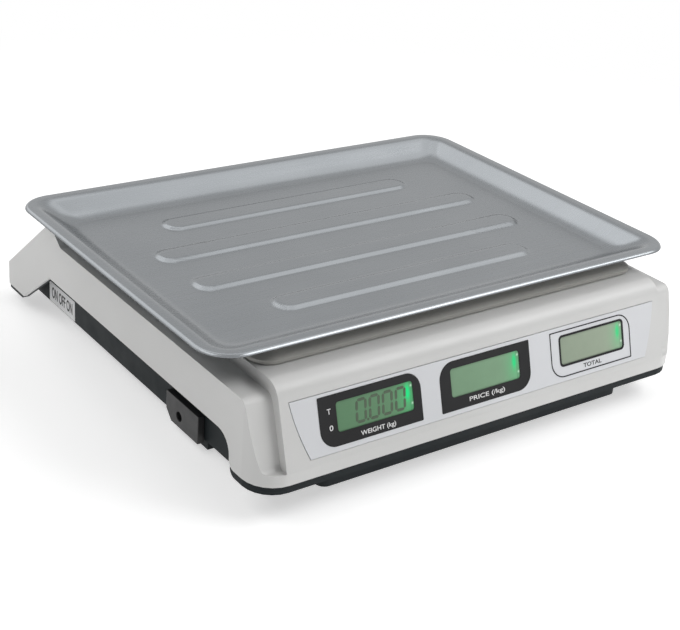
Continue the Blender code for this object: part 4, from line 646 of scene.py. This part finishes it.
# faint noughts of an idle display: a six-cornered bar along each stroke of a figure, leaned to the right
figureLook = {"height": 0.0120, "width": 0.0058, "pitch": 0.0088, "bar": 0.0016, "gap": 0.00025, "lean": 0.08,
              "point": 0.0008, "low": -0.00026, "high": -0.00012}
figureRows = {
    "customer_display_1": {"figures": 4, "end": 0.0198},
    "vendor_display_1": {"figures": 3, "end": 0.0212},
    "vendor_display_2": {"figures": 3, "end": 0.0212},
    "vendor_display_3": {"figures": 4, "end": 0.0212},
}


# strokes join the corners of a figure that is one unit wide and two tall;
# a point with as many corners as a stroke follows the first figure
def figureOutlines(row, look):
    strokes = np.array([[[0, 2], [1, 2]], [[1, 1], [1, 2]], [[1, 0], [1, 1]], [[0, 0], [1, 0]],
                        [[0, 0], [0, 1]], [[0, 1], [0, 2]]], float)
    ends = (strokes - [0.5, 1.0]) * [look["width"], look["height"] / 2]
    run = ends[:, 1] - ends[:, 0]
    run = run / np.linalg.norm(run, axis=1)[:, None]
    side = np.stack((-run[:, 1], run[:, 0]), axis=1) * look["bar"] / 2
    tip, shoulder = run * look["gap"], run * (look["gap"] + look["bar"] / 2)
    bars = np.stack((ends[:, 0] + tip, ends[:, 0] + shoulder + side, ends[:, 1] - shoulder + side,
                     ends[:, 1] - tip, ends[:, 1] - shoulder - side, ends[:, 0] + shoulder - side), axis=1)
    places = row["end"] - look["width"] / 2 - np.arange(row["figures"])[::-1] * look["pitch"]
    spread = bars[None] + np.stack((places, np.zeros_like(places)), axis=1)[:, None, None, :]
    sides = bars.shape[1]
    turn = np.linspace(0, 2 * np.pi, sides, endpoint=False)
    dot = np.stack((np.cos(turn), np.sin(turn)), axis=1) * look["point"]
    dot = dot + [places[0] + look["pitch"] / 2, -look["height"] / 2]
    outlines = np.concatenate((spread.reshape(-1, sides, 2), dot[None]))
    outlines[..., 0] += look["lean"] * outlines[..., 1]
    return outlines


def buildFigures(node, place, rise, sign):
    outlines = figureOutlines(figureRows[node], figureLook) + [nodeFoot(node)[0] * sign, rise]
    mesh = platesMesh(node + "_figures", outlines, place, figureLook["low"], figureLook["high"])
    addPiece(node + "_figures", mesh, finishes["figure"], "housing",
             smoothAngle=meshLook["flat"])


buildFigures("customer_display_1", onPanel, windowLook["rise"], 1.0)

# vendor side: the same three displays, each in a dark printed frame with room for its caption
vendorLook = {"rise": -0.0115, "halfWidth": 0.0330, "up": (-0.0262, -0.0008),
              "radii": (0.0050, 0.0050, 0.0012, 0.0012)}
for number in (1, 2, 3):
    node = "vendor_display_%d" % number
    buildDisplay(node, onKeypad, vendorLook["rise"], -1.0)
    buildFigures(node, onKeypad, vendorLook["rise"], -1.0)
    middle = -nodeFoot(node)[0]
    outer = ((middle - vendorLook["halfWidth"], middle + vendorLook["halfWidth"]), vendorLook["up"],
             vendorLook["radii"])
    printRing("vendor_bezel_%d" % number, outer, windowOutline(middle, vendorLook["rise"]), onKeypad)
print("vendor displays lit")

# plain captions and marks, printed on the frames
captionLook = {"place": onPanel, "finish": "whitePrint", "height": 0.0034, "weight": 0.00006, "ink": 0.00003,
               "out": 0.00014}
vendorCaption = {"place": onKeypad, "up": -0.0232}
captions = {
    "weight_caption": {"words": "WEIGHT (kg)", "x": -0.0808, "up": 0.0058, "width": 0.0235},
    "price_caption": {"words": "PRICE (/kg)", "x": -0.0032, "up": 0.0064, "width": 0.0265},
    "total_caption": {"words": "TOTAL", "x": 0.0806, "up": 0.0061, "width": 0.0150, "height": 0.0026,
                      "out": 0.00004, "finish": "print"},
    "tare_mark": {"words": "T", "x": -0.1115, "up": 0.0228, "width": 0.0024, "height": 0.0030},
    "zero_mark": {"words": "0", "x": -0.1110, "up": 0.0136, "width": 0.0024, "height": 0.0030},
    "vendor_weight_caption": {"words": "WEIGHT (kg)", "x": -0.0840, "width": 0.0235, **vendorCaption},
    "vendor_price_caption": {"words": "PRICE (/kg)", "x": 0.0, "width": 0.0250, **vendorCaption},
    "vendor_total_caption": {"words": "TOTAL", "x": 0.0840, "width": 0.0150, "height": 0.0026, **vendorCaption},
}
for name, look in captions.items():
    look = {**captionLook, **look}
    printWords(name, look["words"], look, look["place"], finishes[look["finish"]])
print("captions printed:", len(captions))

# paper sticker beside the switch, on the left wall of the base; read from -X, its right is -Y
stickerLook = {"wall": -0.1420, "y": (0.0860, 0.1242), "z": (0.0084, 0.0228), "corner": 0.0007, "steps": 6,
               "words": {"x": 0.0, "up": 0.0002, "width": 0.0310, "height": 0.0080, "weight": 0.00022,
                         "ink": 0.00003, "out": 0.00014}}


def onLeftWall(x, up, out):
    middleY = sum(stickerLook["y"]) / 2
    middleZ = sum(stickerLook["z"]) / 2
    return np.stack((stickerLook["wall"] - out, middleY - x, middleZ + up), axis=-1)


def buildSticker(look):
    halfX, halfY = np.ptp(look["y"]) / 2, np.ptp(look["z"]) / 2
    outline = cornerLoops(halfX, halfY, look["corner"], look["steps"])
    mesh = platesMesh("switch_sticker", outline, onLeftWall, printLook["sunk"], printLook["proud"])
    addPiece("switch_sticker", mesh, finishes["sticker"], "housing",
             smoothAngle=meshLook["flat"])
    printWords("switch_words", "ON OFF ON", look["words"], onLeftWall, finishes["print"])


buildSticker(stickerLook)

# keys: rounded caps whose rings step in over the edge and sink to a shallow dish
keyLook = {"edge": 0.0009, "corner": 0.0014, "dish": 0.0003, "slit": 0.0004, "leastRadius": 0.0002,
           "edgeSteps": 6, "dishSteps": 6, "cornerSteps": 7, "legendOut": -0.00022, "ink": 0.00012,
           "weight": 0.00008, "letter": 0.0038}
keyLegends = (("7", "8", "9", "T", "M1", "M2"), ("4", "5", "6", "Z", "M3", "M4"),
              ("1", "2", "3", "0", "C", "+"))


def buildKey(row, column, words, look):
    node = "key_r%d_c%d" % (row, column)
    left, right = nodeReach(node, keypadTop, -along)
    low, high = nodeReach(node, keypadTop, -keypadDown)
    under, face = nodeReach(node, keypadTop, keypadOut)
    halfX, halfY = (right - left) / 2, (high - low) / 2
    turn = np.linspace(0, np.pi / 2, look["edgeSteps"])
    share = np.linspace(0, 1, look["dishSteps"])[1:]
    sink = look["dish"] * smoothStep(share)
    inset = np.concatenate(([0.0], look["edge"] * (1 - np.cos(turn)),
                            look["edge"] + share * (halfY - look["edge"] - look["slit"])))
    out = np.concatenate(([under], face - look["edge"] * (1 - np.sin(turn)), face - sink))
    radius = np.clip(look["corner"] - inset, look["leastRadius"], None)[:, None]
    loops = cornerLoops(halfX - inset, halfY - inset, radius, look["cornerSteps"])
    middleX, middleUp = (left + right) / 2, (low + high) / 2
    points = onKeypad(loops[..., 0] + middleX, loops[..., 1] + middleUp,
                      np.broadcast_to(out[:, None], loops.shape[:2]))
    figure = words.isdigit()
    body = node + "_cap"
    addSolid(node + "_moulding", points, finishes["key" if figure else "blueKey"], body, [node])
    legend = {"x": middleX, "up": middleUp, "height": look["letter"], "weight": look["weight"],
              "ink": look["ink"], "out": face + look["legendOut"]}
    printWords(node + "_legend", words, legend, onKeypad, finishes["print" if figure else "whitePrint"], body)


for row, legends in enumerate(keyLegends, 1):
    for column, words in enumerate(reversed(legends), 1):
        buildKey(row, column, words, keyLook)
print("keys capped:", sum(len(legends) for legends in keyLegends))


# a thread: the radius rises and falls once for each turn and each pitch along the axis,
# and over the last pitch it tapers off by twice the thread's depth
threadLook = {"rowsPerPitch": 8}


def threadPoints(radius, depth, pitch, start, end, sides):
    rows = int(round((end - start) / pitch * threadLook["rowsPerPitch"])) + 1
    angle = np.linspace(0, 2 * np.pi, sides, endpoint=False)
    level = np.linspace(start, end, rows)[:, None]
    fade = np.clip((end - level) / pitch, 0.0, 1.0)
    wave = 0.5 + 0.5 * np.cos(2 * np.pi * level / pitch - angle)
    reach = radius - depth * wave - 2 * depth * (1 - fade)
    level = np.broadcast_to(level, reach.shape)
    return np.stack((reach * np.cos(angle), reach * np.sin(angle), level), axis=-1)


# levelling feet: a scalloped rubber pad with a grip ring below, on a threaded stud
footLook = {"pad": ((0.0028, 0.0007), (0.0056, 0.0007), (0.0061, 0.0), (0.0090, 0.0), (0.0096, 0.0004),
                    (0.0099, 0.0010), (0.0100, 0.0018), (0.0100, 0.0040), (0.0098, 0.0051), (0.0093, 0.0057),
                    (0.0084, 0.0060), (0.0030, 0.0060)),
            "sides": 120, "scallops": 20, "scallop": 0.0006, "scallopFrom": 0.0086, "scallopRamp": 0.0010,
            "stud": 0.0040, "studFrom": 0.0055, "threadDepth": 0.0004, "pitch": 0.00125, "studSides": 40}


def buildFoot(corner, look):
    node = "levelling_foot_" + corner
    low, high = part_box(node)
    points = turnedPoints(look["pad"], look["sides"])
    angle = np.linspace(0, 2 * np.pi, look["sides"], endpoint=False)
    radius = np.hypot(points[..., 0], points[..., 1])
    bite = look["scallop"] * (0.5 - 0.5 * np.cos(look["scallops"] * angle))
    bite = bite * np.clip((radius - look["scallopFrom"]) / look["scallopRamp"], 0.0, 1.0)
    points[..., :2] *= ((radius - bite) / radius)[..., None]
    body, foot = "foot_" + corner, nodeFoot(node)
    addSolid("foot_pad_" + corner, points + foot, finishes["rubber"], body, [node])
    thread = threadPoints(look["stud"], look["threadDepth"], look["pitch"], look["studFrom"], high.z - low.z,
                          look["studSides"])
    addSolid("foot_stud_" + corner, thread + foot, finishes["bolt"], body,
             smoothAngle=meshLook["sheet"])


# rubber pads that carry the tray: rounded discs with a shallow ring groove
padLook = {"profile": ((0.0004, 0.0), (0.0078, 0.0), (0.0086, 0.0003), (0.0090, 0.0009), (0.0090, 0.0018),
                       (0.0087, 0.0023), (0.0081, 0.0026), (0.0064, 0.0026), (0.0060, 0.0022), (0.0052, 0.0022),
                       (0.0048, 0.0026), (0.0010, 0.0026)), "sides": 64}

corners = ("front_left", "front_right", "rear_left", "rear_right")
for corner in corners:
    buildFoot(corner, footLook)
    node = "tray_pad_" + corner
    points = turnedPoints(padLook["profile"], padLook["sides"]) + nodeFoot(node)
    addSolid("pad_" + corner, points, finishes["rubber"], "platform", [node])
print("feet and pads turned")

# screws and bolts: a domed head with a cross or six-sided recess, then a threaded shank
fastenerLook = {"hub": 0.00005, "faceRings": 22, "edgeSteps": 5, "sides": 72, "rimRamp": 0.0003,
                "threadShare": 0.12}
fastenerLooks = {
    "case": {"head": 0.0035, "deepHead": 0.0030, "shank": 0.00175, "dome": 0.0006, "edge": 0.0006,
             "pitch": 0.0008, "cross": True, "wide": 0.00050, "reach": 0.0020, "recess": 0.0015},
    "door": {"head": 0.0035, "deepHead": 0.0015, "shank": 0.00175, "dome": 0.0004, "edge": 0.0005,
             "pitch": 0.0008, "cross": True, "wide": 0.00050, "reach": 0.0020, "recess": 0.0010},
    "cell": {"head": 0.0050, "deepHead": 0.0060, "shank": 0.0030, "dome": 0.0, "edge": 0.0005,
             "pitch": 0.0010, "cross": False, "reach": 0.0025, "recess": 0.0030},
}
fastenerPlaces = [("case_screw_" + corner, "case", "housing", 1.0) for corner in corners]
fastenerPlaces += [("battery_door_screw", "door", "housing", 1.0)]
fastenerPlaces += [("cell_foot_bolt_%d" % number, "cell", "housing", 1.0) for number in (1, 2)]
fastenerPlaces += [("cell_head_bolt_%d" % number, "cell", "platform", -1.0) for number in (1, 2)]


# depth of the driver's recess: full inside the arms or the hexagon, and ramped at its rim
def recessDepth(x, y, look):
    if look["cross"]:
        narrow = np.minimum(np.abs(x), np.abs(y))
        long = np.maximum(np.abs(x), np.abs(y))
        inside = np.minimum(look["wide"] - narrow, look["reach"] - long)
    else:
        turn = np.radians([0.0, 60.0, 120.0])[:, None, None]
        inside = look["reach"] - np.abs(x * np.cos(turn) + y * np.sin(turn)).max(axis=0)
    return look["recess"] * np.clip(inside / look["rimRamp"], 0.0, 1.0)


def buildFastener(node, kind, body, sign):
    look = {**fastenerLook, **fastenerLooks[kind]}
    low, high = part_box(node)
    foot = low.z if sign > 0 else high.z
    face = np.linspace(look["hub"], look["head"] - look["edge"], look["faceRings"])
    turn = np.linspace(0, np.pi / 2, look["edgeSteps"])[1:]
    radius = np.concatenate((face, look["head"] - look["edge"] * (1 - np.sin(turn)), [look["head"]]))
    level = np.concatenate((look["dome"] * (face / look["head"]) ** 2,
                            look["dome"] + look["edge"] * (1 - np.cos(turn)), [look["deepHead"]]))
    head = turnedPoints(np.stack((radius, level), axis=1), look["sides"])
    rows = len(face)
    head[:rows, :, 2] += recessDepth(head[:rows, :, 0], head[:rows, :, 1], look)
    shank = threadPoints(look["shank"], look["shank"] * look["threadShare"], look["pitch"], look["deepHead"],
                         high.z - low.z, look["sides"])
    points = np.concatenate((head, shank)) * [1.0, 1.0, sign]
    points = points + [(low.x + high.x) / 2, (low.y + high.y) / 2, foot]
    addSolid(node + "_steel", points, finishes["bolt"], body, [node])


for fastener in fastenerPlaces:
    buildFastener(*fastener)
print("fasteners turned:", len(fastenerPlaces))

# contact pin of the charger jack, turned along -X from the bottom of its bore
pinLook = {"foot": (-0.14075, -0.0589, 0.0129), "sides": 32,
           "profile": ((0.00085, -0.0003), (0.00085, 0.0002), (0.00065, 0.0004), (0.00065, 0.0030),
                       (0.00050, 0.0034), (0.00025, 0.0036))}
pin = turnedPoints(pinLook["profile"], pinLook["sides"])
pin = np.stack((-pin[..., 2], pin[..., 0], pin[..., 1]), axis=-1) + pinLook["foot"]
addSolid("jack_pin", pin, finishes["bolt"], "housing", smoothAngle=meshLook["moulded"])

# load cell: the solid's own shape, cut across at even steps between its two spacers
cellLook = {"cuts": 12, "finish": "aluminium", "slot": "cell_aluminium"}


def bendingCell(look):
    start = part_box("cell_foot_spacer")[1].x
    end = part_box("cell_head_spacer")[0].x
    bm = bmesh.new()
    bm.from_mesh(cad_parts["load_cell"].data)
    for x in np.linspace(start, end, look["cuts"]):
        bmesh.ops.bisect_plane(bm, geom=bm.verts[:] + bm.edges[:] + bm.faces[:], plane_co=(x, 0.0, 0.0),
                               plane_no=(1.0, 0.0, 0.0))
    mesh = bpy.data.meshes.new("load_cell_bar")
    bm.to_mesh(mesh)
    bm.free()
    piece = addPiece("load_cell_bar", mesh, finishes[look["finish"]], None, ["load_cell"])
    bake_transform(piece)


bendingCell(cellLook)

# nodes whose shape stays as it is take a finish through their slots
nodeFinishes = {"customer_overlay": "film", "keypad_overlay": "keypad", "cell_foot_spacer": "aluminium",
                "cell_head_spacer": "aluminium", "main_board": "board", "customer_display_board": "board",
                "vendor_board": "board", "battery": "cell"}
for number in (1, 2, 3):
    nodeFinishes.update({"customer_display_%d" % number: "black", "vendor_display_%d" % number: "black"})
for node, finish in nodeFinishes.items():
    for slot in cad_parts[node].material_slots:
        slot.material = finishes[finish]
print("nodes finished:", len(nodeFinishes))

# camera at the photograph's viewing angle; back points from the object to the camera
cameraLook = {"place": (-0.49197, -0.65647, 0.41596), "azimuth": math.radians(-37.3118),
              "elevation": math.radians(25.7512), "roll": math.radians(4.5792),
              "focalPixels": 1381.19, "imageWidth": 680.0, "sensor": 36.0}


def buildCamera(look):
    azimuth, elevation, roll = look["azimuth"], look["elevation"], look["roll"]
    back = np.array([math.sin(azimuth) * math.cos(elevation), -math.cos(azimuth) * math.cos(elevation),
                     math.sin(elevation)])
    level = np.cross([0.0, 0.0, 1.0], back)
    level = level / np.linalg.norm(level)
    rise = np.cross(back, level)
    right = level * math.cos(roll) + rise * math.sin(roll)
    top = rise * math.cos(roll) - level * math.sin(roll)
    data = bpy.data.cameras.new("photo_camera")
    data.sensor_fit = "HORIZONTAL"
    data.sensor_width = look["sensor"]
    data.lens = look["focalPixels"] * look["sensor"] / look["imageWidth"]
    camera = addObject("photo_camera", data)
    turn = Matrix(np.column_stack((right, top, back)).tolist()).to_4x4()
    camera.matrix_world = Matrix.Translation(look["place"]) @ turn
    bpy.context.scene.camera = camera


buildCamera(cameraLook)

# white surroundings for the camera and for reflections, with little light of their own; a floor that glows
# and fades to plain white with distance; and soft lamps
stageLook = {"floor": 3.0, "floorPoints": 9, "floorTone": (0.80, 0.80, 0.80), "floorRough": 0.9, "lift": 0.55,
             "fade": (0.34, 0.80), "ambient": 0.04,
             "lamps": {"keyHigh": {"place": (1.00, -0.80, 1.40), "size": (1.2, 0.8), "power": 17.0},
                       "front": {"place": (0.45, -1.15, 0.12), "size": (1.2, 0.2), "power": 0.6},
                       "near": {"place": (0.30, -0.75, 0.22), "size": (0.5, 0.3), "power": 0.35},
                       "top": {"place": (0.87, 0.11, 1.34), "size": (1.2, 1.0), "power": 3.5},
                       "corner": {"place": (0.10, 0.58, 1.40), "size": (0.7, 0.7), "power": 1.4},
                       "left": {"place": (-0.95, 0.15, 1.25), "size": (1.0, 0.8), "power": 4.6},
                       "back": {"place": (-0.55, 1.40, 1.25), "size": (1.8, 1.4), "power": 9.2}}}


# one for camera, glossy and transmission rays, and nought for the rest
def seenRay(tree):
    path = addNode(tree, "LightPath")
    seen = path.outputs["Is Camera Ray"]
    for other in ("Is Glossy Ray", "Is Transmission Ray"):
        larger = addNode(tree, "Math", operation="MAXIMUM")
        tree.links.new(seen, larger.inputs[0])
        tree.links.new(path.outputs[other], larger.inputs[1])
        seen = larger.outputs["Value"]
    return seen


def buildStage(look):
    reach = np.linspace(-look["floor"], look["floor"], look["floorPoints"])
    x, y = np.meshgrid(reach, reach, indexing="ij")
    points = np.stack((x, y, np.zeros_like(x)), axis=-1)
    floor = addObject("floor", gridMesh("floor", points, closed=False))
    material, tree, shader = newMaterial("floor_paper")
    setInputs(shader, {"Base Color": (*look["floorTone"], 1.0), "Roughness": look["floorRough"],
                       "Specular IOR Level": 0.0})
    glow = addNode(tree, "Emission")
    setInputs(glow, {"Strength": look["lift"]})
    both = addNode(tree, "AddShader")
    tree.links.new(shader.outputs["BSDF"], both.inputs[0])
    tree.links.new(glow.outputs["Emission"], both.inputs[1])
    # the fade is only for the rays that see the floor
    distance = addNode(tree, "VectorMath", operation="LENGTH")
    tree.links.new(objectPoint(tree), distance.inputs[0])
    fade = rangeBetween(tree, distance.outputs["Value"], 0.0, 1.0, look["fade"], "SMOOTHSTEP")
    share = addNode(tree, "Math", operation="MULTIPLY")
    tree.links.new(seenRay(tree), share.inputs[0])
    tree.links.new(fade, share.inputs[1])
    plain = addNode(tree, "Emission")
    faded = addNode(tree, "MixShader")
    tree.links.new(share.outputs["Value"], faded.inputs["Fac"])
    tree.links.new(both.outputs["Shader"], faded.inputs[1])
    tree.links.new(plain.outputs["Emission"], faded.inputs[2])
    tree.links.new(faded.outputs["Shader"], tree.nodes["Material Output"].inputs["Surface"])
    floor.data.materials.append(material)
    world = bpy.data.worlds.new("studio")
    bpy.context.scene.world = world
    world.use_nodes = True
    tree = world.node_tree
    soft = tree.nodes["Background"]
    white = addNode(tree, "Background")
    for node, strength in ((soft, look["ambient"]), (white, 1.0)):
        setInputs(node, {"Color": (1.0, 1.0, 1.0, 1.0), "Strength": strength})
    choice = addNode(tree, "MixShader")
    tree.links.new(seenRay(tree), choice.inputs["Fac"])
    tree.links.new(soft.outputs["Background"], choice.inputs[1])
    tree.links.new(white.outputs["Background"], choice.inputs[2])
    tree.links.new(choice.outputs["Shader"], tree.nodes["World Output"].inputs["Surface"])
    for name, lampLook in look["lamps"].items():
        lamp = bpy.data.lights.new(name + "_softbox", "AREA")
        lamp.shape = "RECTANGLE"
        lamp.size, lamp.size_y = lampLook["size"]
        lamp.energy = lampLook["power"]
        holder = addObject(name + "_softbox", lamp)
        holder.location = lampLook["place"]
        holder.rotation_euler = (-holder.location).to_track_quat("-Z", "Y").to_euler()


buildStage(stageLook)
bpy.context.scene.view_settings.view_transform = "Standard"
print("stage and camera set")
